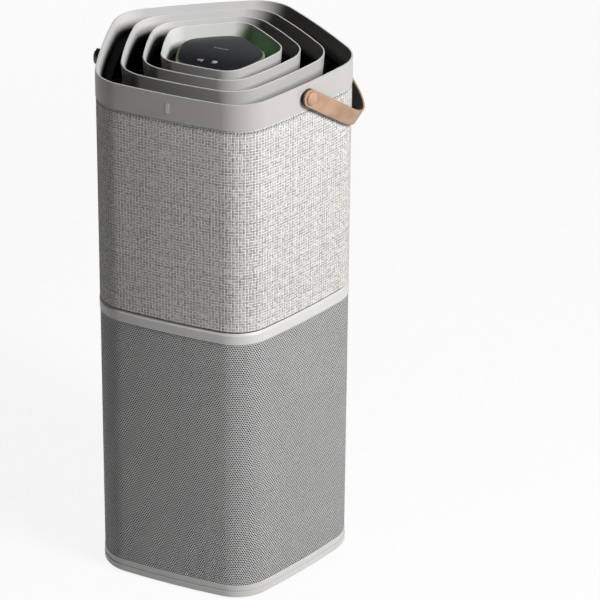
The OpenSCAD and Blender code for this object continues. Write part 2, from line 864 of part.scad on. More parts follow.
module filter_top_cap() {
    z = filter_z + filter_h - cap_h;
    filter_cap(z, z - 1);
    color([0.30, 0.31, 0.32]) for (s = [-1, 1]) rotate(90 + 72 * s)
        translate([filter_r - 1, -14, z + 2]) difference() {
            cube([8, 28, cap_h - 2]);
            translate([2, 5, -1]) cube([3.5, 18, cap_h + 2]);
        }
}

module filter_bottom_cap() {
    filter_cap(filter_z, filter_z + 4);
}

// Perforated carbon sleeve inside the pleats
module filter_core() {
    rows = 5;
    columns = 10;
    color([0.06, 0.06, 0.06]) difference() {
        ring(core_r + 3, core_r, media_z, media_h);
        for (i = [0:rows - 1], j = [0:columns - 1])
            rotate(360 * (j + 0.5 * (i % 2)) / columns)
                translate([core_r - 4, 0, media_z + 30 + (media_h - 60) * i / (rows - 1)])
                    rotate([0, 90, 0]) cylinder(r = 9, h = 12);
    }
}

module filter_seal() {
    z = filter_z + filter_h;
    color([0.12, 0.12, 0.12]) ring(core_r + 12, core_r + 2, z, seal_h - 0.3);
}

// Strip that closes the media where its two ends meet
module filter_seam() {
    color([0.6, 0.61, 0.62]) rotate(-90 - 25) rotate_extrude(angle = 10)
        translate([filter_r - 2, media_z + cap_h - 3])
            square([1.5, media_h - 2 * cap_h + 6]);
}

// ---------- straps ----------

// Centre line of a strap in plan. t runs 0 to 1 from the strap's front end to its
// middle; q is measured along the corner's direction and c along the chord.
tab_len = 11;
flat_n = [cos(half), -sin(half)];
flat_t = [sin(half), cos(half)];
rivet_qc = flat_n * strap_c;
bend_q = (strap_c - strap_bend) / cos(half);
bend_start = [bend_q, 0] + flat_n * strap_bend;
run = (bend_start - rivet_qc) * flat_t;
arc_len = strap_bend * half * PI / 180;
half_len = tab_len + run + arc_len;

function strap_qc(s) = s < run
    ? rivet_qc + flat_t * s
    : [bend_q, 0] + strap_bend * polar(1, -half + (s - run) / strap_bend * 180 / PI);
function strap_n(s) = polar(1, s < run ? -half : -half + (s - run) / strap_bend * 180 / PI);
function smooth(x) = let (k = max(0, min(1, x))) k * k * (3 - 2 * k);
// Half width, narrowing to a round end
function strap_half(s) = let (e = min(s + tab_len, strap_w / 2), w = strap_w / 2)
    max(0.6, sqrt(max(0, w * w - pow(w - e, 2))));
// Section at s: four corners as [q, c, z]
function strap_section(s) =
    let (
        p = strap_qc(s),
        n = strap_n(s),
        drop = tan(strap_droop),
        t0 = [-n[1], n[0], n[1] * drop],
        t = t0 / norm(t0),
        nn = [n[0], n[1], 0],
        w0 = cross(nn, t),
        w1 = w0 / norm(w0),
        n1 = cross(t, w1),
        twist = strap_twist * smooth((s - 9) / (run + arc_len - 9)),
        w = w1 * cos(twist) + n1 * sin(twist),
        m = n1 * cos(twist) - w1 * sin(twist),
        c = [p[0], p[1], rivet_z - (p[0] - rivet_qc[0]) * drop],
        hw = strap_half(s),
        ht = strap_t / 2
    )
    [c + w * hw + m * ht, c + w * hw - m * ht, c - w * hw - m * ht, c - w * hw + m * ht];

// Stations from the front end to the middle, closer together at the round end
stations = concat(
    [0, 0.6, 2, 4.5, 8, 11],
    [for (i = [1:22]) 11 + (half_len - 11) * i / 22]
);

module strap_solid() {
    front = [for (s = stations) strap_section(s - tab_len)];
    rear = [for (i = [len(front) - 2:-1:0])
        [for (v = front[i]) [v[0], -v[1], v[2]]]];
    rings = concat(front, rear);
    n = len(rings);
    points = [for (r = rings, v = r) v];
    polyhedron(points, concat(
        [[0, 1, 2, 3]],
        [for (i = [0:n - 2], j = [0:3]) let (a = 4 * i + j, b = 4 * i + (j + 1) % 4)
            [a, a + 4, b + 4, b]],
        [[4 * n - 1, 4 * n - 2, 4 * n - 3, 4 * n - 4]]
    ), convexity = 6);
}

// One strap round the corner at angle 18 degrees
module strap() {
    difference() {
        rotate(18) strap_solid();
        for (k = [3, 4]) on_side(k, flat_y) translate([0, 20, rivet_z])
            rotate([90, 0, 0]) cylinder(r = shank_r + run_gap, h = 30);
    }
}

module right_strap() {
    color([0.78, 0.56, 0.40]) strap();
}

module left_strap() {
    color([0.78, 0.56, 0.40]) mirror([1, 0, 0]) strap();
}

module strap_bosses() {
    color([0.09, 0.08, 0.08]) each_rivet() rotate([-90, 0, 0]) difference() {
        cylinder(r = strap_w / 2, h = boss_t - 0.1);
        translate([0, 0, -1]) cylinder(r = shank_r, h = boss_t + 2);
    }
}

// Rivets with domed caps, pressed into the rim
module strap_rivets() {
    under = boss_t + strap_t + 0.1;
    edge_h = 0.8;
    dome_h = 2.8;
    color([0.80, 0.58, 0.42]) each_rivet() rotate([-90, 0, 0]) rotate_extrude() polygon(concat(
        [[0, -2.8], [shank_r, -2.8], [shank_r, under], [cap_r, under]],
        [for (a = [0:15:75]) [cap_r * cos(a), under + edge_h + dome_h * sin(a)]],
        [[0, under + edge_h + dome_h]]
    ));
}

// ---------- fasteners ----------

module base_screws() {
    color([0.3, 0.3, 0.3]) for (k = FRONT_CORNERS) at_corner(k, post_at)
        translate([0, 0, foot_h + 2]) mirror([0, 0, 1]) screw(12);
}

module frame_screws() {
    color([0.3, 0.3, 0.3]) for (k = FRONT_CORNERS) at_corner(k, post_at)
        translate([0, 0, plate_z + plate_t]) screw(14);
}

module shell_screws() {
    color([0.3, 0.3, 0.3]) for (k = ALL) at_corner(k, boss_at, 30)
        translate([0, 0, mid_top + 3]) screw(12);
}

module fan_screws() {
    color([0.3, 0.3, 0.3]) for (k = ALL) at_corner(k, boss_at, 30)
        translate([0, 0, fan_flange_z + 3]) screw(8);
}

module guard_screws() {
    color([0.3, 0.3, 0.3]) for (k = ALL) at_corner(k, boss_at, -30)
        translate([0, 0, guard_bottom - 4]) mirror([0, 0, 1]) screw(10);
}

module motor_screws() {
    color([0.3, 0.3, 0.3]) for (i = [0:3]) rotate(45 + 90 * i)
        translate([24, 0, fan_deck_z + 3]) screw(8);
}

top_rim();
sensor_window();
outer_louvre();
middle_louvre();
inner_louvre();
outlet_guard();
display_housing();
display_board();
light_guide();
display_glass();
upper_shell();
fabric_sleeve();
hub_shroud();
control_board();
power_board();
fan_housing();
fan_hub();
motor_base();
motor_core();
motor_windings();
motor_bearings();
motor_shaft();
motor_bell();
motor_magnets();
impeller();
impeller_ring();
inlet_bell();
inlet_guard();
particle_sensor();
mid_ring();
intake_duct();
filter_deck();
lower_frame();
front_cover();
rear_cover();
rear_cover_frame();
cover_pull();
cover_magnets();
frame_magnets();
base_pan();
feet();
power_socket();
socket_pins();
filter_media();
filter_top_cap();
filter_bottom_cap();
filter_core();
filter_seal();
filter_seam();
right_strap();
left_strap();
strap_bosses();
strap_rivets();
base_screws();
frame_screws();
shell_screws();
fan_screws();
guard_screws();
motor_screws();
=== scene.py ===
"""Looks of a five-sided tower air purifier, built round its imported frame.

Each sub-assembly is a class that dresses its own nodes and makes the pieces that need a
finer surface than the solids have. Each shared effect and each finish is a small frozen
dataclass. Lengths are in metres, and angles in radians unless a comment says degrees.
"""

from __future__ import annotations

import json
import logging
import math
from dataclasses import dataclass, field
from enum import Enum
from functools import cache
from typing import Callable, Sequence

import bpy
import numpy as np
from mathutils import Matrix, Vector

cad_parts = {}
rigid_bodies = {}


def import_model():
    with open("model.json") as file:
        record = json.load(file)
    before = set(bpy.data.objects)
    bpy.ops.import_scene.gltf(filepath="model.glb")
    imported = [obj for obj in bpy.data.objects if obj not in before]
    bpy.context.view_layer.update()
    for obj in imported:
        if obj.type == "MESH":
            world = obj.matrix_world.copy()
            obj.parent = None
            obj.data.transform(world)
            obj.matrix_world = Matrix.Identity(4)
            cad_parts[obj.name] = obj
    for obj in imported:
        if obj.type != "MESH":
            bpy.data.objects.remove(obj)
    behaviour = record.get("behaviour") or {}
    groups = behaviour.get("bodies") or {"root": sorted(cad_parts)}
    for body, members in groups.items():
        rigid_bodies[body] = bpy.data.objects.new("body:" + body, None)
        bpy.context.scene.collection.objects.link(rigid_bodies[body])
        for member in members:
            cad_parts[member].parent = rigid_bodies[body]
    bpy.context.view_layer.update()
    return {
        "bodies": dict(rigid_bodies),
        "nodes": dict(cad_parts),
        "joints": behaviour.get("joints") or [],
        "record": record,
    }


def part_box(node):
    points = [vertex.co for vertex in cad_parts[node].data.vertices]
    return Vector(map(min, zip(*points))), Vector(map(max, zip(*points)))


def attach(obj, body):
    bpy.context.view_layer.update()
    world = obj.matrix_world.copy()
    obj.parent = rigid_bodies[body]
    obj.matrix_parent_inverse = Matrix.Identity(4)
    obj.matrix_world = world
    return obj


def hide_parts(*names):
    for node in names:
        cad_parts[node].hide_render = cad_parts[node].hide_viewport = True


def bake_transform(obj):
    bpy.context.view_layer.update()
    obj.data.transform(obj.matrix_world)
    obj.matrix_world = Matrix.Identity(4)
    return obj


LOG = logging.getLogger("purifier")
MM = 0.001
OUTWARD = 0.3  # how squarely a wall has to face away from the axis to count as outside
UPRIGHT = 0.02  # the most that an upright face's normal may rise
Pair = tuple[float, float]
Triple = tuple[float, float, float]
Colour = Triple
Object = bpy.types.Object
NodeTree = bpy.types.NodeTree
Socket = bpy.types.NodeSocket
Sockets = tuple[Socket, ...]
Value = Socket | float | Sequence[float]

# Node trees


class Tree:
    """A node tree with short ways to add and join nodes."""

    def __init__(self, tree: NodeTree) -> None:
        """Takes the tree of a material, a world or a group."""
        self.tree = tree

    def add(self, kind: str, inputs: dict | None = None, **settings: object) -> bpy.types.Node:
        """Adds a node.

        Args:
            kind: The node's type name, without the words ShaderNode.
            inputs: Values or sockets for its inputs, by name or number.
            settings: Its own settings.

        Returns:
            The new node.
        """
        node = self.tree.nodes.new("ShaderNode" + kind)
        for key, value in settings.items():
            setattr(node, key, value)
        for key, value in (inputs or {}).items():
            self.feed(node.inputs[key], value)
        return node

    def feed(self, target: Socket, value: Value) -> None:
        """Links a socket to an input, or sets the input's own value."""
        if isinstance(value, Socket):
            self.tree.links.new(value, target)
        else:
            target.default_value = value

    def math(self, operation: str, *values: Value) -> Socket:
        """Returns the result of a math node on the given values."""
        return self.add("Math", dict(enumerate(values)), operation=operation).outputs[0]

    def times(self, a: Value, b: Value) -> Socket:
        """Returns a times b."""
        return self.math("MULTIPLY", a, b)

    def plus(self, a: Value, b: Value) -> Socket:
        """Returns a plus b."""
        return self.math("ADD", a, b)

    def axes(self, vector: Socket) -> list[Socket]:
        """Returns a vector's three parts."""
        return list(self.add("SeparateXYZ", {0: vector}).outputs)

    def span(
        self, value: Value, low: float, high: float, to_low: float = 0.0, to_high: float = 1.0
    ) -> Socket:
        """Returns a value taken smoothly from the span low to high into another span."""
        inputs = dict(enumerate((value, low, high, to_low, to_high)))
        return self.add("MapRange", inputs, interpolation_type="SMOOTHSTEP").outputs[0]

    def spread(self, noise: Socket) -> Socket:
        """Returns noise with its middle values spread over 0 to 1."""
        return self.span(noise, 0.3, 0.7)

    def blend(self, factor: Value, a: Value, b: Value) -> Socket:
        """Returns colour a turned into colour b by factor."""
        return self.add("Mix", {0: factor, 6: a, 7: b}, data_type="RGBA").outputs[2]

    def noise(self, vector: Socket, scale: Value, detail: float = 2.0) -> Socket:
        """Returns noise between 0 and 1, with a number of finer layers as its detail."""
        inputs = {"Vector": vector, "Scale": scale, "Detail": detail}
        return self.add("TexNoise", inputs).outputs[0]

    def stretch(self, vector: Socket, scale: Triple) -> Socket:
        """Returns a place with each axis scaled, so that a pattern is stretched."""
        return self.add("Mapping", {"Vector": vector, "Scale": scale}).outputs[0]

    def seen(self, *rays: str) -> Socket:
        """Returns a mask that is 1 for either of two kinds of ray."""
        path = self.add("LightPath")
        return self.math("MAXIMUM", *(path.outputs[ray] for ray in rays))

    def whiten(self, kind: str, share: Socket, own: Socket) -> Socket:
        """Returns a shader with a share of even white light of some kind mixed in."""
        white = self.add(kind, {"Color": (1.0, 1.0, 1.0, 1.0), "Strength": 1.0}).outputs[0]
        return self.add("MixShader", {0: share, 1: own, 2: white}).outputs[0]


@dataclass(frozen=True)
class Effect:
    """A shader group that several finishes share, with what it takes and gives by name."""

    name: str
    takes: tuple[str, ...]
    gives: tuple[str, ...]

    def build(self, tree: Tree, vector: Socket, *values: Socket) -> Sockets:
        """Adds the nodes inside the group.

        Args:
            tree: The group's tree.
            vector: The place that the pattern follows.
            values: What the group takes.

        Returns:
            What the group gives.
        """
        raise NotImplementedError

    @cache
    def group(self) -> NodeTree:
        """Returns the group, built the first time it is asked for."""
        group = bpy.data.node_groups.new(self.name, "ShaderNodeTree")
        group.interface.new_socket("Vector", in_out="INPUT", socket_type="NodeSocketVector")
        for side, names in (("INPUT", self.takes), ("OUTPUT", self.gives)):
            for name in names:
                group.interface.new_socket(name, in_out=side, socket_type="NodeSocketFloat")
        entry, end = group.nodes.new("NodeGroupInput"), group.nodes.new("NodeGroupOutput")
        tree = Tree(group)
        for target, result in zip(end.inputs, self.build(tree, *list(entry.outputs)[:-1])):
            tree.feed(target, result)
        return group


@dataclass(frozen=True)
class Grain(Effect):
    """Fine spark-eroded grain of moulded plastic, and broad clouds of tone."""

    detail: float = 3.0
    cloud_scale: float = 9.0

    def build(self, tree: Tree, vector: Socket, scale: Socket) -> Sockets:
        """Returns the grain's height and the clouds' tone."""
        cloud = tree.noise(vector, self.cloud_scale)
        return tree.noise(vector, scale, self.detail), tree.spread(cloud)


@dataclass(frozen=True)
class Weave(Effect):
    """Plain weave of light and dark threads in uneven order.

    A pair of numbers is for the warp and the weft.
    """

    waver_scale: float = 45.0
    drift: Pair = (1.2, 0.9)
    order_share: Pair = (0.42, 0.22)
    slub_share: Pair = (0.24, 0.12)
    chance_share: float = 0.14
    speck_share: float = 0.26
    seeds: Pair = (400.5, 437.8)
    slub_scale: float = 620.0
    slub_stretch: tuple[Triple, Triple] = ((1.0, 0.25, 1.0), (0.25, 1.0, 1.0))
    lift: float = 0.42
    crossing: float = 0.12
    gap_depth: Pair = (0.2, 0.6)

    def build(self, tree: Tree, vector: Socket, *pitches: Socket) -> Sockets:
        """Adds the nodes of the weave.

        Args:
            tree: The group's tree.
            vector: The place on the cloth.
            pitches: The spacings of the warp and the weft.

        Returns:
            The height, the threads' tone and their gaps.
        """
        place = tree.axes(vector)
        waver = tree.noise(vector, self.waver_scale)
        waves, tones, cell = [], [], tree.add("CombineXYZ")
        for axis, pitch in enumerate(pitches):
            straight = tree.math("DIVIDE", place[axis], pitch)
            count = tree.plus(straight, tree.times(waver, self.drift[axis]))
            waves.append(tree.math("SINE", tree.times(count, math.pi)))
            index = tree.math("FLOOR", count)
            tree.feed(cell.inputs[axis], index)
            seeded = {"W": tree.plus(index, self.seeds[axis])}
            chance = tree.add("TexWhiteNoise", seeded, noise_dimensions="1D").outputs[0]
            order = tree.math("FLOORED_MODULO", index, 2.0)
            drawn = tree.stretch(vector, self.slub_stretch[axis])
            slub = tree.spread(tree.noise(drawn, self.slub_scale, 1.0))
            uneven = tree.times(slub, self.slub_share[axis])
            own = tree.plus(tree.times(chance, self.chance_share), uneven)
            tones.append(tree.plus(tree.times(order, self.order_share[axis]), own))
        over = tree.times(*waves)
        lift = tree.times(over, self.lift)
        height = tree.math("MAXIMUM", *(
            tree.times(tree.math("ABSOLUTE", wave), tree.math(sign, 1 - self.lift, lift))
            for wave, sign in zip(waves, ("ADD", "SUBTRACT"))
        ))
        upper = tree.span(over, -self.crossing, self.crossing, 0.3, 0.7)
        thread = tree.add("Mix", {0: upper, 2: tones[1], 3: tones[0]}, data_type="FLOAT")
        crossed = {"Vector": cell.outputs[0]}
        speck = tree.add("TexWhiteNoise", crossed, noise_dimensions="2D").outputs[0]
        tone = tree.plus(thread.outputs[0], tree.times(speck, self.speck_share))
        return height, tone, tree.span(height, *self.gap_depth, 1.0, 0.0)


@dataclass(frozen=True)
class Holes(Effect):
    """Round holes in staggered rows, with spans in radii for their rim and their dip."""

    rim: Pair = (0.86, 1.08)
    dip: Pair = (0.8, 1.35)

    def build(self, tree: Tree, vector: Socket, pitch: Socket, radius: Socket) -> Sockets:
        """Adds the nodes of the holes.

        Args:
            tree: The group's tree.
            vector: The place on the sheet.
            pitch: The spacing of the holes.
            radius: A hole's radius.

        Returns:
            A mask of the holes, and the height.
        """
        steps = (tree.times(pitch, 0.5), tree.times(pitch, math.sqrt(3) / 2))
        axes, apart = tree.axes(vector), []
        for shift in (0.0, 1.0):
            squares = []
            for place, step in zip(axes, steps):
                away = tree.math("PINGPONG", tree.plus(place, tree.times(step, shift)), step)
                squares.append(tree.times(away, away))
            apart.append(tree.math("SQRT", tree.plus(*squares)))
        nearest = tree.math("DIVIDE", tree.math("MINIMUM", *apart), radius)
        return tree.span(nearest, *self.rim, 1.0, 0.0), tree.span(nearest, *self.dip)


@dataclass(frozen=True)
class Hide(Effect):
    """Pebbled hide with fine creases and cloudy dye."""

    crease: float = 0.22
    pore_scale: float = 3.0
    dye_scale: float = 0.05
    shares: Pair = (0.7, 0.3)

    def build(self, tree: Tree, vector: Socket, scale: Socket) -> Sockets:
        """Adds the nodes of the hide.

        Args:
            tree: The group's tree.
            vector: The place on the leather.
            scale: How fine the pebbles are.

        Returns:
            The height, and the dye's tone.
        """
        inputs = {"Vector": vector, "Scale": scale}
        cells = tree.add("TexVoronoi", inputs, feature="DISTANCE_TO_EDGE").outputs[0]
        pebble = tree.times(tree.span(cells, 0.0, self.crease), self.shares[0])
        pores = tree.noise(vector, tree.times(scale, self.pore_scale))
        dye = tree.noise(vector, tree.times(scale, self.dye_scale), 3.0)
        return tree.plus(pebble, tree.times(pores, self.shares[1])), dye


@dataclass(frozen=True)
class Handled(Effect):
    """Faint wiped smears that change the gloss."""

    scale: float = 26.0
    detail: float = 4.0
    stretch: Triple = (1.0, 1.0, 0.35)

    def build(self, tree: Tree, vector: Socket, amount: Socket) -> Sockets:
        """Returns the change of gloss."""
        smear = tree.noise(tree.stretch(vector, self.stretch), self.scale, self.detail)
        return (tree.times(tree.math("SUBTRACT", smear, 0.5), amount),)


GRAIN = Grain("moulded_grain", ("Scale",), ("Height", "Tone"))
WEAVE = Weave("plain_weave", ("Warp", "Weft"), ("Height", "Tone", "Gap"))
HOLES = Holes("staggered_holes", ("Pitch", "Radius"), ("Hole", "Height"))
HIDE = Hide("leather_hide", ("Scale",), ("Height", "Tone"))
HANDLED = Handled("handled_surface", ("Amount",), ("Gloss",))


class Coordinates(Enum):
    """What a pattern follows: the piece's own space, or its wrapped map."""

    OBJECT = "Object"
    WRAPPED = "UV"


def shade(colour: Colour, factor: float = 1.0) -> tuple[float, float, float, float]:
    """Returns a colour scaled by factor, with full alpha."""
    return (*(min(1.0, c * factor) for c in colour), 1.0)


class Shader(Tree):
    """A material's tree, with its surface shader and a place for patterns."""

    def __init__(self, name: str, follows: Coordinates) -> None:
        """Starts a named material whose patterns follow some coordinates."""
        self.material = bpy.data.materials.new(name)
        self.material.use_nodes = True
        super().__init__(self.material.node_tree)
        self.surface = self.tree.nodes["Principled BSDF"]
        self.vector = self.add("TexCoord").outputs[follows.value]

    def set(self, **values: Value) -> None:
        """Sets plain values on the surface shader, such as sheen_weight=0.3."""
        for key, value in values.items():
            name = key.replace("_", " ").title().replace("Ior", "IOR")
            self.surface.inputs[name].default_value = value

    def effect(self, effect: Effect, **values: float) -> dict[str, Socket]:
        """Places a shared effect with its values and returns what it gives, by name."""
        inputs = {"Vector": self.vector} | {k.title(): v for k, v in values.items()}
        return dict(self.add("Group", inputs, node_tree=effect.group()).outputs.items())

    def mottle(self, factor: Socket, colour: Colour, low: float, high: float) -> Socket:
        """Returns a colour between two shades of itself, by factor."""
        return self.blend(factor, shade(colour, low), shade(colour, high))

    def paint(self, colour: Socket) -> None:
        """Feeds the base colour."""
        self.feed(self.surface.inputs["Base Color"], colour)

    def rough(self, value: Socket) -> None:
        """Feeds the roughness."""
        self.feed(self.surface.inputs["Roughness"], value)

    def bump(self, height: Socket, depth: float, strength: float = 1.0) -> None:
        """Raises the surface by height times depth in metres."""
        node = self.add("Bump", {"Height": height, "Distance": depth, "Strength": strength})
        self.feed(self.surface.inputs["Normal"], node.outputs[0])


# Finishes


@dataclass(frozen=True)
class Finish:
    """A surface finish, which is one material."""

    name: str
    colour: Colour
    follows = Coordinates.OBJECT

    def coat(self, s: Shader) -> None:
        """Sets up the finish.

        Args:
            s: The new material's shader.
        """
        raise NotImplementedError

    @cache
    def material(self) -> bpy.types.Material:
        """Returns the material, made the first time it is asked for."""
        shader = Shader(self.name, self.follows)
        self.coat(shader)
        return shader.material


@dataclass(frozen=True)
class Plastic(Finish):
    """Moulded plastic with a fine eroded grain.

    The foot is a span of heights below which the colour is painted dark as shade, and bounce
    is the share of the colour that light takes along from wall to wall.
    """

    roughness: float = 0.45
    depth: float = 0.02 * MM
    specular: float = 0.5
    bounce: float = 1.0
    foot: Pair | None = None
    # how dark the painted shade at the foot is, as a share of the colour
    foot_painted_shade: float = 0.08
    spread: float = 0.03
    grain: float = 1500.0
    smear: float = 0.10

    def coat(self, s: Shader) -> None:
        """Sets up the grain, the smears and the shadows."""
        grain = s.effect(GRAIN, scale=self.grain)
        tone = s.mottle(grain["Tone"], self.colour, 1 - self.spread, 1 + self.spread)
        # painted shade: the colour darkens towards the bottom of the foot span
        if self.foot:
            height = s.span(s.axes(s.vector)[2], *self.foot)
            tone = s.blend(height, shade(self.colour, self.foot_painted_shade), tone)
        if self.bounce < 1:
            path = s.add("LightPath").outputs["Is Diffuse Ray"]
            tone = s.blend(path, tone, shade(self.colour, self.bounce))
        s.paint(tone)
        s.rough(s.plus(self.roughness, s.effect(HANDLED, amount=self.smear)["Gloss"]))
        s.set(specular_ior_level=self.specular)
        if self.depth:
            s.bump(grain["Height"], self.depth)


@dataclass(frozen=True)
class Woven(Finish):
    """Coarse melange upholstery cloth with slubbed threads and a row of stitches."""

    dark: Colour
    gap: Colour
    warp: float = 2.1 * MM
    weft: float = 1.83 * MM
    tones: Pair = (0.1, 0.62)
    gap_share: float = 0.7
    seam_at: float = 0.6506
    seam_wide: float = 1.3 * MM
    stitch: Pair = (-0.6, 0.4)
    relief: float = 0.7 * MM
    follows = Coordinates.WRAPPED

    def seam(self, s: Shader) -> Socket:
        """Adds a row of stitches along the upper hem.

        Args:
            s: The cloth's shader.

        Returns:
            A mask of the row.
        """
        along, up, _ = s.axes(s.vector)
        away = s.math("ABSOLUTE", s.math("SUBTRACT", up, self.seam_at))
        row = s.span(s.math("DIVIDE", away, self.seam_wide), 0.5, 1.0, 1.0, 0.0)
        turns = s.math("SINE", s.times(along, math.pi / self.warp))
        return s.times(row, s.span(turns, *self.stitch))

    def coat(self, s: Shader) -> None:
        """Sets up the threads, the gaps between them and the stitches."""
        weave = s.effect(WEAVE, warp=self.warp, weft=self.weft)
        tone = s.span(weave["Tone"], *self.tones)
        thread = s.blend(tone, shade(self.dark), shade(self.colour))
        gap = s.math("MAXIMUM", s.times(weave["Gap"], self.gap_share), self.seam(s))
        s.paint(s.blend(gap, thread, shade(self.gap)))
        s.rough(s.span(weave["Height"], 0.0, 1.0, 0.95, 0.8))
        s.set(sheen_weight=0.15, sheen_roughness=0.6, specular_ior_level=0.25)
        s.bump(weave["Height"], self.relief, 0.8)


@dataclass(frozen=True)
class Perforated(Finish):
    """Painted sheet with fine staggered holes that show the dark inside."""

    inside: Colour
    pitch: float = 3.0 * MM
    radius: float = 1.18 * MM
    relief: float = 0.6 * MM
    grain: float = 1400.0
    follows = Coordinates.WRAPPED

    def coat(self, s: Shader) -> None:
        """Sets up the sheet and its holes."""
        holes = s.effect(HOLES, pitch=self.pitch, radius=self.radius)
        grain = s.effect(GRAIN, scale=self.grain)
        sheet = s.mottle(grain["Tone"], self.colour, 0.98, 1.02)
        s.paint(s.blend(holes["Hole"], sheet, shade(self.inside)))
        s.rough(s.span(holes["Hole"], 0.0, 1.0, 0.42, 0.9))
        s.bump(holes["Height"], self.relief, 0.9)


@dataclass(frozen=True)
class Leather(Finish):
    """Dyed vegetable-tanned leather, a little duller in its creases."""

    roughness: float = 0.42
    scale: float = 900.0
    spread: float = 0.14
    crease_dull: float = 0.12
    relief: float = 0.12 * MM
    follows = Coordinates.WRAPPED

    def coat(self, s: Shader) -> None:
        """Sets up the hide and its dye."""
        hide = s.effect(HIDE, scale=self.scale)
        dye = s.spread(hide["Tone"])
        s.paint(s.mottle(dye, self.colour, 1 - self.spread, 1 + self.spread))
        dull = self.roughness + self.crease_dull
        s.rough(s.span(hide["Height"], 0.0, 1.0, dull, self.roughness))
        s.set(specular_ior_level=0.4)
        s.bump(hide["Height"], self.relief, 0.6)


@dataclass(frozen=True)
class Metal(Finish):
    """Bare or plated metal with fine drawn lines."""

    roughness: float = 0.3
    lines: float = 700.0
    stretch: Triple = (1.0, 1.0, 0.08)

    def coat(self, s: Shader) -> None:
        """Sets up the drawn lines."""
        drawn = s.noise(s.stretch(s.vector, self.stretch), self.lines)
        s.paint(s.mottle(drawn, self.colour, 0.9, 1.08))
        s.rough(s.span(drawn, 0.2, 0.8, self.roughness - 0.06, self.roughness + 0.08))
        s.set(metallic=1.0)


@dataclass(frozen=True)
class Board(Finish):
    """Green circuit board with tracks under its lacquer."""

    tracks: float = 120.0
    track_shade: float = 1.9

    def coat(self, s: Shader) -> None:
        """Sets up the tracks."""
        inputs = {"Vector": s.vector, "Scale": self.tracks, "Mortar Size": 0.03}
        tracks = s.add("TexBrick", inputs, offset=0.3).outputs["Fac"]
        s.paint(s.mottle(tracks, self.colour, 1.0, self.track_shade))
        s.rough(s.span(tracks, 0.0, 1.0, 0.35, 0.25))


@dataclass(frozen=True)
class DarkGlass(Finish):
    """Black cover glass, paler towards its rear edge."""

    rear: Colour
    reach: float = 45 * MM
    roughness: float = 0.24
    smear: float = 0.06

    def coat(self, s: Shader) -> None:
        """Sets up the paler rear, the smears and the coat."""
        depth = s.span(s.axes(s.vector)[1], -self.reach, self.reach)
        s.paint(s.blend(depth, shade(self.colour), shade(self.rear)))
        s.rough(s.plus(self.roughness, s.effect(HANDLED, amount=self.smear)["Gloss"]))
        s.set(coat_weight=0.3, coat_roughness=0.2, specular_ior_level=0.8)


@dataclass(frozen=True)
class Glow(Finish):
    """Milky plastic that is lit from inside."""

    light: Colour
    power: float
    cloud_scale: float = 40.0

    def coat(self, s: Shader) -> None:
        """Sets up the milky clouds and the light."""
        cloud = s.noise(s.vector, self.cloud_scale)
        s.paint(s.mottle(cloud, self.colour, 0.94, 1.04))
        s.rough(s.span(cloud, 0.0, 1.0, 0.35, 0.5))
        s.set(emission_color=shade(self.light), emission_strength=self.power)


@dataclass(frozen=True)
class Pleated(Finish):
    """White glass-fibre paper with a faint fibre cloud."""

    fibres: float = 480.0
    detail: float = 4.0
    stretch: Triple = (1.0, 1.0, 0.3)
    relief: float = 0.2 * MM

    def coat(self, s: Shader) -> None:
        """Sets up the fibres."""
        fibre = s.noise(s.stretch(s.vector, self.stretch), self.fibres, self.detail)
        s.paint(s.mottle(fibre, self.colour, 0.9, 1.06))
        s.rough(s.span(fibre, 0.0, 1.0, 0.8, 0.95))
        s.bump(fibre, self.relief, 0.5)


@dataclass(frozen=True)
class Foam(Finish):
    """Open-celled black foam or carbon sleeve."""

    cells: float = 700.0
    relief: float = 0.6 * MM

    def coat(self, s: Shader) -> None:
        """Sets up the cells."""
        cells = s.add("TexVoronoi", {"Vector": s.vector, "Scale": self.cells}).outputs[0]
        s.paint(s.mottle(cells, self.colour, 1.5, 0.5))
        s.rough(s.span(cells, 0.0, 1.0, 0.85, 1.0))
        s.bump(cells, self.relief, 0.7)


RIM = Plastic("warm_grey_satin", (0.50, 0.477, 0.457), 0.42, specular=0.35, bounce=0.15)
# painted light and shade: inner walls paler than the outer walls of the same rings to stand for
# the light on them, and painted dark at the foot of the channels as shade
PAINTED_LIGHT_SHADE_LINER = Plastic(
    "inner_grey_satin", (0.70, 0.69, 0.675), specular=0.2, bounce=0.1, foot=(0.664, 0.675)
)
# painted light: the same paler inner walls, without the painted shade at the foot
PAINTED_LIGHT_LINER = Plastic("inner_ring_lining", (0.70, 0.69, 0.675), specular=0.2, bounce=0.1)
# painted highlight: the pale top faces of the rims' and rings' lips
LIP_HIGHLIGHT = Plastic("crest_grey_satin", (0.84, 0.83, 0.81), 0.4, bounce=0.2)
BAND = Plastic("pale_grey_satin", (0.63, 0.62, 0.60), 0.42, bounce=0.2)
RING = Plastic("louvre_grey_satin", (0.52, 0.512, 0.495), 0.36, specular=0.35, bounce=0.15)
GUARD = Plastic("guard_black", (0.012, 0.0105, 0.0105), 0.6, 0.0, 0.15)
BLACK = Plastic("black_satin", (0.018, 0.016, 0.016), 0.38)
SHELL = Plastic("black_shell", (0.018, 0.016, 0.016), 0.38, 0.0)
DARK = Plastic("dark_frame", (0.045, 0.045, 0.048), 0.6, 0.0)
SOCKET = Plastic("inlet_black", (0.015, 0.015, 0.015), 0.5)
WINDOW = Plastic("window_milk", (0.66, 0.655, 0.64), 0.25)
FAN = Plastic("fan_pale", (0.62, 0.62, 0.61), 0.4, 0.0)
SENSOR = Plastic("sensor_case", (0.12, 0.125, 0.13), 0.45, 0.0)
FERRITE = Plastic("ferrite", (0.03, 0.03, 0.033), 0.6, 0.0)
CAP = Plastic("filter_cap", (0.055, 0.058, 0.062), 0.5, 0.04 * MM)
STRIP = Plastic("filter_strip", (0.36, 0.37, 0.38), 0.6)
BEAD = Plastic("glue_bead", (0.72, 0.72, 0.71), 0.5)
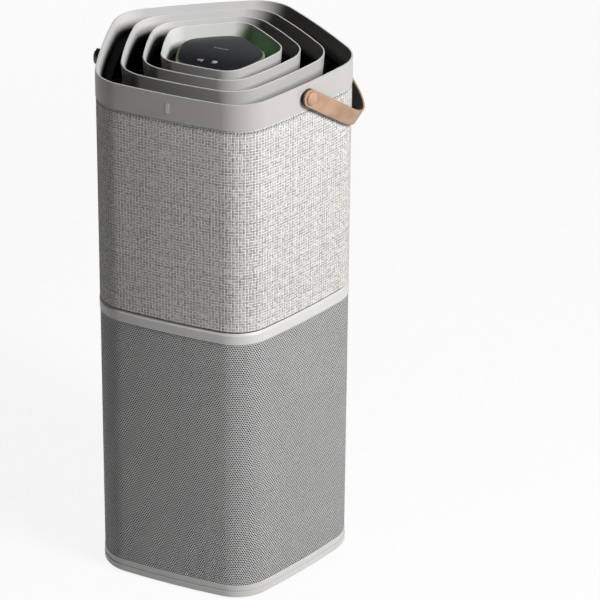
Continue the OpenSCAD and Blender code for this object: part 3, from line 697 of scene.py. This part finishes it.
RUBBER = Plastic("foot_rubber", (0.02, 0.02, 0.02), 0.8)
CLOTH = Woven(
    "melange_cloth", (0.94, 0.923, 0.892), (0.31, 0.301, 0.276), (0.10, 0.096, 0.087)
)
COVER = Perforated("perforated_grey", (0.86, 0.855, 0.84), (0.015, 0.015, 0.015))
TAN = Leather("tan_leather", (0.42, 0.268, 0.178))
TAN_EDGE = Leather("cut_edge", (0.66, 0.42, 0.27), 0.6, 1500.0, 0.08)
LINING = Leather("black_lining", (0.02, 0.018, 0.018), 0.55)
RIVET = Leather("rivet_tan", (0.50, 0.30, 0.19), 0.34, 1200.0, 0.08)
GLASS = DarkGlass("display_black", (0.018, 0.018, 0.022), (0.095, 0.10, 0.105))
GUIDE = Glow("lit_ring", (0.30, 0.34, 0.30), (0.30, 0.45, 0.28), 0.2)
GUIDE_SIDE = Glow("lit_ring_side", (0.40, 0.52, 0.38), (0.10, 0.60, 0.06), 0.32)
MARK = Glow("lit_mark", (0.30, 0.31, 0.31), (0.85, 0.9, 0.88), 0.28)
STEEL = Metal("bright_steel", (0.60, 0.60, 0.61), 0.28)
ALUMINIUM = Metal("cast_aluminium", (0.55, 0.55, 0.57), 0.4)
IRON = Metal("laminated_iron", (0.30, 0.30, 0.32), 0.45)
COPPER = Metal("copper_wire", (0.70, 0.30, 0.14))
BRASS = Metal("pin_brass", (0.72, 0.58, 0.28), 0.25)
GREEN = Board("circuit_board", (0.02, 0.13, 0.05))
PAPER = Pleated("filter_paper", (0.62, 0.63, 0.635))
CARBON = Foam("carbon_foam", (0.02, 0.02, 0.02))
Dressing = tuple[tuple[Finish, tuple[str, ...]], ...]


def dress(obj: Object, *finishes: Finish) -> None:
    """Gives an object one material slot for each finish."""
    obj.data.materials.clear()
    for finish in finishes:
        obj.data.materials.append(finish.material())


# Modelling


class Part(Enum):
    """Parts of a mesh that are picked in edit mode."""

    VERT = "vertices"
    FACE = "polygons"


def activate(obj: Object) -> None:
    """Makes obj the one selected and active object."""
    bpy.ops.object.select_all(action="DESELECT")
    obj.select_set(True)
    bpy.context.view_layer.objects.active = obj


class Editing:
    """Edit mode on one object, as a with block."""

    def __init__(self, obj: Object, all_picked: bool = False) -> None:
        """Takes the object to edit, and whether all of it starts picked."""
        self.obj = obj
        self.action = "SELECT" if all_picked else "DESELECT"

    def __enter__(self) -> None:
        """Enters edit mode."""
        activate(self.obj)
        bpy.ops.object.mode_set(mode="EDIT")
        bpy.ops.mesh.select_mode(type="FACE")
        bpy.ops.mesh.select_all(action=self.action)

    def __exit__(self, *unused: object) -> None:
        """Goes back to object mode."""
        bpy.ops.object.mode_set(mode="OBJECT")


def pick(obj: Object, part: Part, wanted: Callable[[object], bool]) -> None:
    """Picks some vertices or faces of an object that is in edit mode.

    Args:
        obj: The object.
        part: Which of the two are picked.
        wanted: Says whether one of them is picked.
    """
    bpy.ops.mesh.select_mode(type=part.name)
    bpy.ops.object.mode_set(mode="OBJECT")
    for item in getattr(obj.data, part.value):
        item.select = wanted(item)
    bpy.ops.object.mode_set(mode="EDIT")


def modify(obj: Object, kind: str, **settings: object) -> None:
    """Adds a modifier to an object and applies it.

    Args:
        obj: The object, which ends up active.
        kind: The modifier's type.
        settings: Its own settings.
    """
    activate(obj)
    modifier = obj.modifiers.new(kind.lower(), kind)
    for key, value in settings.items():
        setattr(modifier, key, value)
    bpy.ops.object.modifier_apply(modifier=modifier.name)


def settle(obj: Object) -> Object:
    """Moves an object's place into its mesh and returns it."""
    activate(obj)
    bpy.ops.object.transform_apply(location=True, rotation=True, scale=True)
    return obj


def join(parts: Sequence[Object], name: str) -> Object:
    """Joins parts into the first of them.

    Args:
        parts: The parts.
        name: The joined piece's name.

    Returns:
        The joined piece.
    """
    activate(parts[0])
    for part in parts:
        part.select_set(True)
    bpy.ops.object.join()
    parts[0].name = name
    return parts[0]


@dataclass
class Softened:
    """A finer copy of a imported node, with its sharp edges rounded.

    A crest is the depth of the round top edge that is flattened into a crisp line.
    """

    node: str
    radius: float = 0.3 * MM
    segments: int = 2
    crest: float = 0.0
    merge: float = 0.004 * MM
    sharp: float = math.radians(35)
    level: float = math.radians(1)
    skew: float = math.radians(60)

    def level_crest(self, obj: Object) -> None:
        """Flattens the round top edge into a crisp line, which the lip's painted highlight makes
        bright.

        Args:
            obj: The copy.
        """
        top = max(v.co.z for v in obj.data.vertices)
        with Editing(obj):
            pick(obj, Part.VERT, lambda v: v.co.z > top - self.crest)
            bpy.ops.transform.resize(value=(1, 1, 0), center_override=(0, 0, top))

    def make(self) -> Object:
        """Makes the copy.

        Returns:
            The rounded copy, smooth over its curves.
        """
        mesh = bpy.data.objects[self.node].data.copy()
        obj = bpy.data.objects.new(self.node + "_skin", mesh)
        bpy.context.scene.collection.objects.link(obj)
        with Editing(obj, all_picked=True):
            bpy.ops.mesh.remove_doubles(threshold=self.merge)
            bpy.ops.mesh.tris_convert_to_quads(
                face_threshold=self.level, shape_threshold=self.skew
            )
        if self.crest:
            self.level_crest(obj)
        modify(
            obj, "BEVEL", width=self.radius, segments=self.segments, limit_method="ANGLE",
            angle_limit=self.sharp, use_clamp_overlap=True,
        )
        bpy.ops.object.shade_smooth_by_angle(angle=self.sharp)
        modify(obj, "WEIGHTED_NORMAL", keep_sharp=True)
        return obj


def looks(face: bpy.types.MeshPolygon, side: int = 1) -> bool:
    """True if a wall's face looks away from the Z axis, or with side -1 towards it."""
    return side * face.normal.xy.dot(face.center.xy) > OUTWARD * face.center.xy.length


def wrap_map(obj: Object, start: float) -> None:
    """Lays a map round an upright shell: along its outline across, and height up, in metres.

    Args:
        obj: The shell, which goes round the Z axis.
        start: The angle in degrees where the map begins, at a hidden corner.
    """
    mesh = obj.data
    points = np.array([v.co for v in mesh.vertices])
    angle = (np.degrees(np.arctan2(points[:, 1], points[:, 0])) - start) % 360
    upright = (f for f in mesh.polygons if looks(f) and abs(f.normal.z) < UPRIGHT)
    outline = sorted({v for face in upright for v in face.vertices})
    outer = {}
    for a, (x, y, _) in zip(angle[outline].round(2), points[outline]):
        outer[a] = max(outer.get(a, (0, 0, 0)), (math.hypot(x, y), x, y))
    angles = np.array(sorted(outer))
    ring = np.array([outer[a][1:] for a in angles])
    steps = np.hypot(*np.diff(ring, axis=0, append=ring[:1]).T)
    length = np.concatenate([[0], np.cumsum(steps)])
    table = np.append(angles, 360 + angles[0])
    layer = mesh.uv_layers.get("UVMap") or mesh.uv_layers.new(name="UVMap")
    for face in mesh.polygons:
        centre = (math.degrees(math.atan2(face.center.y, face.center.x)) - start) % 360
        for loop in face.loop_indices:
            v = mesh.loops[loop].vertex_index
            a = angle[v] + 360 * round((centre - angle[v]) / 360)
            along = np.interp(a % 360, table, length) + length[-1] * (a // 360)
            layer.data[loop].uv = (along, points[v, 2])


@dataclass(frozen=True)
class Strip:
    """Where a stretch of the outline, up to its end, lies on a bake sheet, in metres."""

    end: float
    left: float
    bottom: float
    turned: bool = False


@dataclass(frozen=True)
class BakeSheet:
    """Layout of a wrapped shell's baked colours, in metres on the sheet.

    The outside lies in strips, and all else is small in a spare corner, which has a left
    side, a bottom, a width and a height.
    """

    size: Pair
    strips: tuple[Strip, ...]
    spare: tuple[float, float, float, float]
    fold: float = 1.15
    margin: float = 0.004

    def lay(self, obj: Object) -> None:
        """Adds the layout as the map OFBake.

        Args:
            obj: A shell that wrap_map has mapped.
        """
        mesh = obj.data
        mesh.uv_layers.active = mesh.uv_layers.new(name="OFBake")
        with Editing(obj):
            pick(obj, Part.FACE, lambda face: not looks(face))
            bpy.ops.uv.smart_project(
                angle_limit=self.fold, island_margin=self.margin, scale_to_bounds=True
            )
        wrapped, sheet = (mesh.uv_layers[name].data for name in ("UVMap", "OFBake"))
        left, bottom, wide, high = self.spare
        width, height = self.size
        groups: dict[int, list[int]] = {}
        for face in mesh.polygons:
            loops = list(face.loop_indices)
            if looks(face):
                middle = sum(wrapped[i].uv.x for i in loops) / len(loops)
                number = sum(middle > strip.end for strip in self.strips)
                groups.setdefault(number, []).extend(loops)
                continue
            for i in loops:
                u, v = sheet[i].uv
                sheet[i].uv = ((left + wide * u) / width, (bottom + high * v) / height)
        for number, loops in groups.items():
            strip = self.strips[number]
            across = [wrapped[i].uv.x for i in loops]
            foot = min(wrapped[i].uv.y for i in loops)
            for i in loops:
                u, v = wrapped[i].uv.x - min(across), wrapped[i].uv.y - foot
                u, v = (v, max(across) - min(across) - u) if strip.turned else (u, v)
                sheet[i].uv = ((strip.left + u) / width, (strip.bottom + v) / height)


# Sub-assemblies


@dataclass
class Assembly:
    """A sub-assembly, with the nodes that it shows as they are and all its pieces."""

    frame: dict
    plain: Dressing = ()
    pieces: list[Object] = field(default_factory=list)
    lip_edge: float = 0.12 * MM
    lip_crest: float = 0.4 * MM
    # how far below the top the lip's faces take the painted highlight
    lip_highlight_depth: float = 0.5 * MM

    def build(self) -> None:
        """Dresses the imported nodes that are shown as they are."""
        for finish, nodes in self.plain:
            for node in nodes:
                dress(self.frame["nodes"][node], finish)
                self.pieces.append(self.frame["nodes"][node])

    def show(self, obj: Object, body: str, slot: str, *nodes: str) -> None:
        """Puts a piece on a body, in place of the nodes that it stands for.

        Args:
            obj: The finished piece.
            body: The body that it rides on.
            slot: Not used.
            nodes: The nodes that it replaces.
        """
        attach(obj, body)
        if nodes:
            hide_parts(*nodes)
        self.pieces.append(obj)

    def soften(
        self, body: str, slot: str, finish: Finish, radius: float, *nodes: str, segments: int = 2
    ) -> None:
        """Shows a softened copy of each of some nodes.

        Args:
            body: The body that they ride on.
            slot: Their material slot.
            finish: Their finish.
            radius: The radius of their edges.
            nodes: The nodes.
            segments: The number of flats in a rounded edge.
        """
        for node in nodes:
            obj = Softened(node, radius, segments).make()
            dress(obj, finish)
            self.show(obj, body, slot, node)

    def lip(self, node: str, slot: str, outside: Finish, inside: Finish) -> None:
        """Shows an upright ring of the cabinet with a crisp lip, whose top faces are painted
        pale as a highlight.

        Args:
            node: The ring's node.
            slot: Its material slot.
            outside: The finish of its outer wall.
            inside: The finish of its inner wall.
        """
        ring = Softened(node, self.lip_edge, 1, self.lip_crest).make()
        dress(ring, outside, inside, LIP_HIGHLIGHT)
        top = max(v.co.z for v in ring.data.vertices) - self.lip_highlight_depth
        for face in ring.data.polygons:
            # material index 2, the painted highlight, goes on the top faces
            on_top = face.normal.z > 0.6 and face.center.z > top
            face.material_index = 2 if on_top else int(looks(face, -1))
        self.show(ring, "cabinet", slot, node)


@dataclass
class Housing(Assembly):
    """Rim, bands, cloth section and perforated covers."""

    edge: float = 0.5 * MM
    window_edge: float = 0.2 * MM
    cover_edge: float = 0.4 * MM
    hem: float = 1.0 * MM
    hem_segments: int = 4
    seam_angle: float = 90.0  # degrees
    cut: Pair = (0.975, 0.270)
    sleeve_sheet: BakeSheet = BakeSheet(
        (0.60, 0.546),
        (Strip(0.39, 0.002, 0.002), Strip(0.78, 0.002, 0.275), Strip(math.inf, 0.40, 0.002)),
        (0.40, 0.275, 0.195, 0.268),
    )
    front_sheet: BakeSheet = BakeSheet(
        (0.435, 0.57),
        (
            Strip(0.214, 0.002, 0.002), Strip(0.428, 0.22, 0.002),
            Strip(math.inf, 0.002, 0.352, turned=True),
        ),
        (0.353, 0.352, 0.08, 0.216),
    )
    rear_sheet: BakeSheet = BakeSheet(
        (0.44, 0.35), (Strip(math.inf, 0.002, 0.001),), (0.34, 0.002, 0.098, 0.345)
    )
    plain: Dressing = (
        (DARK, ("lower_frame", "rear_cover_frame", "intake_duct", "filter_deck")),
        (SHELL, ("upper_shell", "hub_shroud")),
        (RUBBER, ("feet",)),
        (SOCKET, ("power_socket",)),
        (BRASS, ("socket_pins",)),
        (STEEL, ("base_screws", "frame_screws", "shell_screws", "fan_screws")),
        (STEEL, ("guard_screws", "cover_magnets", "frame_magnets")),
    )

    def bands(self) -> None:
        """Makes the rim, the middle band and the base."""
        # the rim's inner wall carries painted light, and painted shade at its foot
        self.lip("top_rim", "rim_plastic", RIM, PAINTED_LIGHT_SHADE_LINER)
        self.soften("cabinet", "rim_plastic", BAND, self.edge, "mid_ring", "base_pan")
        self.soften("cabinet", "window_plastic", WINDOW, self.window_edge, "sensor_window")

    def sleeve(self) -> None:
        """Makes the cloth round the upper section, with turned hems."""
        obj = Softened("fabric_sleeve", self.hem, self.hem_segments).make()
        wrap_map(obj, self.seam_angle)
        self.sleeve_sheet.lay(obj)
        dress(obj, CLOTH)
        self.show(obj, "cabinet", "sleeve_fabric", "fabric_sleeve")

    def covers(self) -> None:
        """Makes the perforated covers of the lower section."""
        for node, body, start, sheet in (
            ("front_cover", "cabinet", self.seam_angle, self.front_sheet),
            ("rear_cover", "rear_door", self.seam_angle - 180, self.rear_sheet),
        ):
            obj = Softened(node, self.cover_edge).make()
            wrap_map(obj, start)
            sheet.lay(obj)
            dress(obj, COVER)
            self.show(obj, body, "cover_plastic", node)

    def build(self) -> None:
        """Builds the whole housing."""
        self.bands()
        self.sleeve()
        self.covers()
        super().build()


@dataclass
class Outlet(Assembly):
    """Nested louvre rings and the black guard under them."""

    plain: Dressing = ((GUARD, ("outlet_guard",)),)

    def build(self) -> None:
        """Builds the rings and dresses the guard."""
        # the rings' inner walls carry painted light, and all but the inner ring painted shade at
        # the foot
        for node, inside in (
            ("outer_louvre", PAINTED_LIGHT_SHADE_LINER), ("middle_louvre", PAINTED_LIGHT_SHADE_LINER), ("inner_louvre", PAINTED_LIGHT_LINER)
        ):
            self.lip(node, "ring_plastic", RING, inside)
        super().build()


@dataclass(frozen=True)
class Mark:
    """A flat lit mark, with its place and size in millimetres: a disc, or else a bar."""

    x: float
    y: float
    width: float
    length: float
    disc: bool = False

    def make(self, z: float, lift: float) -> Object:
        """Adds the mark.

        Args:
            z: The height of its middle.
            lift: How thick it is.

        Returns:
            The mark, where a bar has rounded ends.
        """
        place = (self.x * MM, self.y * MM, z)
        if self.disc:
            radius = self.length / 2 * MM
            bpy.ops.mesh.primitive_cylinder_add(
                vertices=20, radius=radius, depth=lift, location=place
            )
            bpy.context.active_object.scale.x = self.width / self.length
            return settle(bpy.context.active_object)
        bpy.ops.mesh.primitive_cube_add(size=1, location=place)
        bpy.context.active_object.scale = (self.width * MM, self.length * MM, lift)
        obj = settle(bpy.context.active_object)
        modify(obj, "BEVEL", width=self.width * 0.4 * MM, segments=3, limit_method="ANGLE")
        return obj


@dataclass
class Display(Assembly):
    """Glass, lit ring, tub and lit marks."""

    plain: Dressing = ((BLACK, ("display_housing",)), (GREEN, ("display_board",)))
    glass_edge: float = 0.5 * MM
    lift: float = 0.12 * MM
    sink: float = 0.02 * MM
    marks: tuple[Mark, ...] = (
        *(Mark(x, 12, 1.8, 1.8, disc=True) for x in (-11, -7, -3, 1, 5)),
        *(Mark(x, -29, 1.2, y) for x, y in ((-14, 4.0), (-11.4, 5.5), (-8.8, 7.0))),
        Mark(7, -26.5, 7.04, 4.4, disc=True),
        Mark(7, -30.5, 6.0, 1.0),
    )

    def panel(self) -> None:
        """Makes the glass and the ring that is lit under its edge."""
        self.soften("cabinet", "display_glass", GLASS, self.glass_edge, "display_glass")
        guide = Softened("light_guide").make()
        dress(guide, GUIDE, GUIDE_SIDE)
        for face in guide.data.polygons:
            face.material_index = int(abs(face.normal.z) < 0.5)
        self.show(guide, "cabinet", "light_guide", "light_guide")

    def signs(self) -> None:
        """Makes a row of dots, and a sign of bars and one of a disc near the front edge."""
        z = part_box("display_glass")[1].z + self.lift / 2 - self.sink
        obj = join([mark.make(z, self.lift) for mark in self.marks], "display_marks")
        dress(obj, MARK)
        self.show(obj, "cabinet", "light_guide")

    def build(self) -> None:
        """Builds the whole display."""
        self.panel()
        self.signs()
        super().build()


class Side(Enum):
    """The side that a strap is on, with the sign of its x."""

    RIGHT = 1
    LEFT = -1


@dataclass
class Strap(Assembly):
    """A leather carrying strap with its lining, round one side corner.

    It is worked out in the corner's own frame, with x out along the corner and a rivet on
    each side. Its straight stretches stand off the axis by off and face half to each side
    of x. The right strap is then turned by turn, and the left one is its mirror image.
    """

    side: Side = Side.RIGHT
    width: float = 22 * MM
    leather: float = 2.5 * MM
    lining: float = 1.4 * MM
    lining_inset: float = 0.5 * MM
    droop: float = math.radians(48.7)
    twist: float = math.radians(30)
    twist_from: float = 9 * MM
    bend: float = 54.3 * MM
    tab: float = 11 * MM
    half: float = math.radians(36)
    turn: float = math.radians(18)
    off: float = 148.943 * MM
    height: float = 670.2 * MM
    flex_from: float = 6 * MM
    rounding: float = 0.7 * MM
    corner: Pair = (0.25, 0.3)
    marks: tuple[float, ...] = (-1, -0.6, -0.2, 0.2, 0.6, 1)
    rows: int = 48
    tip_rows: int = 8
    tip: float = 0.4 * MM

    @property
    def bend_at(self) -> float:
        """Distance of the bend's centre from the axis, along the corner."""
        return (self.off - self.bend) / math.cos(self.half)

    @property
    def run(self) -> float:
        """Length of the straight stretch from the rivet to the bend."""
        out = np.array([math.cos(self.half), -math.sin(self.half)])
        start = np.array([self.bend_at, 0.0]) + out * self.bend
        return float((start - self.off * out) @ np.array([-out[1], out[0]]))

    @property
    def reach(self) -> float:
        """Length of the centre line from the rivet to the corner."""
        return self.run + self.bend * self.half

    def frame_at(self, s: float) -> tuple[np.ndarray, np.ndarray, np.ndarray, float]:
        """Works out the strap's place at a distance from its rivet.

        Args:
            s: Distance along the centre line, below 0 on the tab's end.

        Returns:
            The centre, the unit vectors across its width and through it, and its half width.
        """
        past = s - self.run
        angle = -self.half + max(0.0, past) / self.bend
        x, y = math.cos(angle), math.sin(angle)
        fall = math.tan(self.droop)
        out = self.bend_at + self.bend * x - min(0.0, past) * y
        aside = self.bend * y + min(0.0, past) * x
        drop = (out - self.off * math.cos(self.half)) * fall
        centre = np.array([out, aside, self.height - drop])
        along = np.array([-y, x, y * fall])
        along /= np.linalg.norm(along)
        across = np.cross([x, y, 0.0], along)
        across /= np.linalg.norm(across)
        through = np.cross(along, across)
        k = min(1.0, max(0.0, (s - self.twist_from) / (self.reach - self.twist_from)))
        angle = self.twist * k * k * (3 - 2 * k)
        wide = across * math.cos(angle) + through * math.sin(angle)
        deep = through * math.cos(angle) - across * math.sin(angle)
        middle = self.width / 2
        inset = middle - min(s + self.tab, middle)
        half = math.sqrt(max(0.0, middle ** 2 - inset ** 2))
        return centre, wide, deep, max(half, self.tip)

    def stations(self) -> list[float]:
        """Returns the sections' distances from the rivet, closer on the round end."""
        turns = np.linspace(0.08, math.pi / 2, self.tip_rows)
        ends = [-self.tab + self.tab * (1 - math.cos(a)) for a in turns]
        return ends + list(np.linspace(0, self.reach, self.rows)[1:])

    def section(self, half: float, near: float, far: float) -> list[Pair]:
        """Works out the outline of one layer with rounded edges.

        Args:
            half: Half its width.
            near: Its inner face, from the strap's middle.
            far: Its outer face.

        Returns:
            The outline's points, as (across, through).
        """
        r = min(self.rounding, half * 0.8)
        x, t = half - r * self.corner[0], r * self.corner[1]
        edge = [(x, far - t), (half, (near + far) / 2), (x, near + t)]
        flat = [max(half - r, 0.0) * mark for mark in self.marks]
        outer, inner = [(x, far) for x in flat], [(x, near) for x in reversed(flat)]
        return outer + edge + inner + [(-x, t) for x, t in reversed(edge)]

    def mesh(self, name: str, near: float, far: float, inset: float) -> bpy.types.Mesh:
        """Makes the closed mesh of one layer, with a map along it.

        Args:
            name: Its name.
            near: Its inner face, from the strap's middle.
            far: Its outer face.
            inset: How much less than half the strap's width it has.

        Returns:
            The mesh, whose cut edges have the second material.
        """
        stations = [(s, *self.frame_at(s)) for s in self.stations()]
        flip = [1, -1, 1]
        rows = stations + [
            (2 * self.reach - s, c * flip, w * flip, d * flip, h)
            for s, c, w, d, h in reversed(stations[:-1])
        ]
        cos, sin = math.cos(self.turn), math.sin(self.turn)
        vertices, places = [], []
        for length, centre, wide, deep, half in rows:
            for x, t in self.section(half - inset, near, far):
                q, c, z = centre + wide * x + deep * t
                vertices.append((self.side.value * (q * cos - c * sin), q * sin + c * cos, z))
                places.append((length, x))
        n, last = len(vertices) // len(rows), len(rows) - 1
        faces = [
            (i * n + j, i * n + (j + 1) % n, (i + 1) * n + (j + 1) % n, (i + 1) * n + j)
            for i in range(last) for j in range(n)
        ]
        faces += [tuple(reversed(range(n))), tuple(range(last * n, last * n + n))]
        mesh = bpy.data.meshes.new(name)
        mesh.from_pydata(vertices, [], faces)
        layer = mesh.uv_layers.new(name="UVMap")
        for loop in mesh.loops:
            layer.data[loop.index].uv = places[loop.vertex_index]
        first, side = len(self.marks) - 1, n // 2
        for face in mesh.polygons:
            on_edge = first <= face.index % n % side < first + 4
            face.material_index = int(on_edge or face.index >= last * n)
        return mesh

    def layer(self, name: str, *span: float) -> Object:
        """Adds one layer as a smooth object.

        Args:
            name: Its name.
            span: Its two faces and its inset, as mesh takes them.

        Returns:
            The object.
        """
        obj = bpy.data.objects.new(name, self.mesh(name, *span))
        bpy.context.scene.collection.objects.link(obj)
        with Editing(obj, all_picked=True):
            bpy.ops.mesh.normals_make_consistent(inside=False)
        bpy.ops.object.shade_smooth_by_angle(angle=math.radians(50))
        return obj

    def build(self) -> None:
        """Builds the leather and its lining."""
        body = self.side.name.lower() + "_strap"
        top = (self.leather + self.lining) / 2
        joint = top - self.leather
        for obj, finishes in (
            (self.layer(body + "_leather", joint, top, 0.0), (TAN, TAN_EDGE)),
            (self.layer(body + "_lining", -top, joint, self.lining_inset), (LINING, LINING)),
        ):
            dress(obj, *finishes)
            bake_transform(obj)
            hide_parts(body)
            self.pieces.append(obj)


@dataclass
class Hardware(Assembly):
    """Rivets and bosses of the straps, and the rear cover's pull tab."""

    boss_edge: float = 0.5 * MM
    rivet_edge: float = 0.25 * MM
    pull_edge: float = 0.6 * MM

    def build(self) -> None:
        """Builds the rivets, the bosses and the tab."""
        self.soften("cabinet", "black_plastic", BLACK, self.boss_edge, "strap_bosses")
        tans = (
            ("cabinet", "rivet_tan", RIVET, self.rivet_edge, "strap_rivets"),
            ("rear_door", "strap_leather", TAN, self.pull_edge, "cover_pull"),
        )
        for tan in tans:
            self.soften(*tan, segments=3)
            with Editing(self.pieces[-1], all_picked=True):
                bpy.ops.uv.cube_project(cube_size=1.0)


@dataclass
class FilterDrum(Assembly):
    """Pleated drum filter with its caps, beads, core and seal."""

    plain: Dressing = (
        (CARBON, ("filter_core", "filter_seal")),
        (STRIP, ("filter_seam",)),
    )
    pleats: int = 180
    depth: float = 4.5 * MM
    core_gap: float = 0.3 * MM
    beads: int = 5
    bead: float = 0.7 * MM
    bead_sink: float = 0.5 * MM
    cap_edge: float = 0.6 * MM

    def media(self) -> None:
        """Makes the pleated paper, closed at both ends."""
        low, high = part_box("filter_media")
        radius = high.x
        bpy.ops.object.select_all(action="DESELECT")
        bpy.ops.mesh.primitive_cylinder_add(
            vertices=2 * self.pleats, radius=radius, depth=high.z - low.z,
            location=(0, 0, (low.z + high.z) / 2), end_fill_type="NGON",
        )
        obj = settle(bpy.context.active_object)
        obj.name = "filter_pleats"
        step, shrink = math.pi / self.pleats, 1 - self.depth / radius
        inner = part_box("filter_core")[1].x + self.core_gap
        with Editing(obj):
            pick(obj, Part.VERT, lambda v: round(math.atan2(v.co.y, v.co.x) / step) % 2 == 0)
            bpy.ops.transform.resize(value=(shrink, shrink, 1), center_override=(0, 0, 0))
            pick(obj, Part.FACE, lambda face: abs(face.normal.z) > 0.9)
            bpy.ops.mesh.inset(thickness=radius - self.depth / 2 - inner, depth=0)
            bpy.ops.mesh.delete(type="FACE")
            bpy.ops.mesh.select_mode(type="EDGE")
            bpy.ops.mesh.select_all(action="DESELECT")
            bpy.ops.mesh.select_non_manifold()
            bpy.ops.mesh.bridge_edge_loops()
        dress(obj, PAPER)
        self.show(obj, "filter", "filter_media", "filter_media")

    def glue(self) -> None:
        """Makes the glue beads that hold the pleats apart."""
        low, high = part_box("filter_media")
        parts = []
        for i in range(self.beads):
            z = low.z + (high.z - low.z) * (i + 0.5) / self.beads
            bpy.ops.mesh.primitive_torus_add(
                major_radius=high.x - self.bead_sink, minor_radius=self.bead,
                major_segments=120, minor_segments=8, location=(0, 0, z),
            )
            parts.append(settle(bpy.context.active_object))
        obj = join(parts, "glue_beads")
        bpy.ops.object.shade_smooth()
        dress(obj, BEAD)
        self.show(obj, "filter", "filter_strip")

    def build(self) -> None:
        """Builds the whole filter."""
        self.media()
        self.glue()
        caps = ("filter_top_cap", "filter_bottom_cap")
        self.soften("filter", "filter_cap", CAP, self.cap_edge, *caps)
        super().build()


@dataclass
class FanUnit(Assembly):
    """Fan housing, motor, impeller, bell and the boards near them."""

    plain: Dressing = (
        (SHELL, ("fan_housing", "fan_hub", "inlet_bell", "inlet_guard")),
        (FAN, ("impeller", "impeller_ring")),
        (GREEN, ("control_board", "power_board")),
        (ALUMINIUM, ("motor_base",)),
        (IRON, ("motor_core", "motor_bell")),
        (COPPER, ("motor_windings",)),
        (STEEL, ("motor_bearings", "motor_shaft", "motor_screws")),
        (FERRITE, ("motor_magnets",)),
        (SENSOR, ("particle_sensor",)),
    )


# Studio


@dataclass(frozen=True)
class Lamp:
    """A soft rectangular lamp, with its place, its width and height and its watts."""

    name: str
    place: Triple
    size: Pair
    power: float

    def add(self, aim: Vector) -> None:
        """Adds the lamp.

        Args:
            aim: The point that it faces.
        """
        data = bpy.data.lights.new(self.name, "AREA")
        data.shape = "RECTANGLE"
        data.size, data.size_y = self.size
        data.energy = self.power
        obj = bpy.data.objects.new(self.name, data)
        bpy.context.scene.collection.objects.link(obj)
        obj.location = self.place
        obj.rotation_euler = (aim - obj.location).to_track_quat("-Z", "Y").to_euler()


@dataclass
class Studio:
    """Pale floor, soft lamps and the camera. Azimuth and elevation are in degrees."""

    floor_size: float = 14.0
    floor_drop: float = 0.2 * MM
    floor_grey: float = 0.93
    floor_glow: float = 0.9
    bounce_grey: float = 0.50
    sky: Colour = (0.97, 0.985, 1.0)
    sky_strength: float = 0.015
    lamps: tuple[Lamp, ...] = (
        Lamp("main_lamp", (2.78, -0.58, 2.3), (1.2, 1.2), 140.0),
        Lamp("left_lamp", (-2.7, -0.9, 0.4), (1.0, 0.6), 8.0),
        Lamp("back_lamp", (-1.4, 2.6, 0.5), (1.4, 1.0), 26.0),
    )
    lamp_aim: Triple = (0, 0, 0.55)
    azimuth: float = 25.0
    elevation: float = 28.14
    distance: float = 4.314
    target: Triple = (0.0183, 0.0085, 0.3438)
    lens: float = 205.4
    shift: float = 0.107

    def floor(self) -> None:
        """Makes a plain pale floor that keeps the object's shadow."""
        bpy.ops.object.select_all(action="DESELECT")
        bpy.ops.mesh.primitive_plane_add(size=self.floor_size, location=(0, 0, -self.floor_drop))
        obj = bpy.context.active_object
        obj.name = "studio_floor"
        s = Shader("studio_floor", Coordinates.OBJECT)
        s.set(roughness=0.9, specular_ior_level=0.0)
        seen = s.seen("Is Camera Ray", "Is Glossy Ray")
        s.paint(s.blend(seen, shade((self.bounce_grey,) * 3), shade((self.floor_grey,) * 3)))
        lit = s.whiten("Emission", s.times(seen, self.floor_glow), s.surface.outputs[0])
        s.feed(s.tree.nodes["Material Output"].inputs["Surface"], lit)
        obj.data.materials.append(s.material)

    def world(self) -> None:
        """Makes a dim even sky that looks white."""
        world = bpy.data.worlds.new("studio")
        bpy.context.scene.world = world
        world.use_nodes = True
        tree = Tree(world.node_tree)
        seen = tree.seen("Is Camera Ray", "Is Transmission Ray")
        inputs = {"Color": shade(self.sky), "Strength": self.sky_strength}
        dim = tree.add("Background", inputs).outputs[0]
        lit = tree.whiten("Background", seen, dim)
        tree.feed(world.node_tree.nodes["World Output"].inputs["Surface"], lit)

    def camera(self) -> None:
        """Adds the camera at the product view."""
        a, e = math.radians(self.azimuth), math.radians(self.elevation)
        back = Vector((math.sin(a) * math.cos(e), -math.cos(a) * math.cos(e), math.sin(e)))
        data = bpy.data.cameras.new("camera")
        data.lens = self.lens
        data.shift_x = self.shift
        data.clip_end = 50
        obj = bpy.data.objects.new("camera", data)
        bpy.context.scene.collection.objects.link(obj)
        obj.location = Vector(self.target) + back * self.distance
        obj.rotation_euler = (-back).to_track_quat("-Z", "Y").to_euler()
        bpy.context.scene.camera = obj

    def build(self) -> None:
        """Builds the studio and sets the plain view transform."""
        self.camera()
        self.floor()
        self.world()
        for lamp in self.lamps:
            lamp.add(Vector(self.lamp_aim))
        bpy.context.scene.view_settings.view_transform = "Standard"


def main() -> None:
    """Builds every sub-assembly round the frame, then the studio."""
    logging.basicConfig(level=logging.INFO, format="%(name)s %(message)s")
    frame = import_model()
    straps = [Strap(frame, side=side) for side in Side]
    for assembly in (
        Housing(frame), Outlet(frame), Display(frame), Hardware(frame), *straps,
        FilterDrum(frame), FanUnit(frame),
    ):
        assembly.build()
        for piece in assembly.pieces:
            faces = len(piece.data.polygons)
            LOG.info("%s: %s, %d faces", type(assembly).__name__, piece.name, faces)
    Studio().build()


if __name__ == "__main__":
    main()
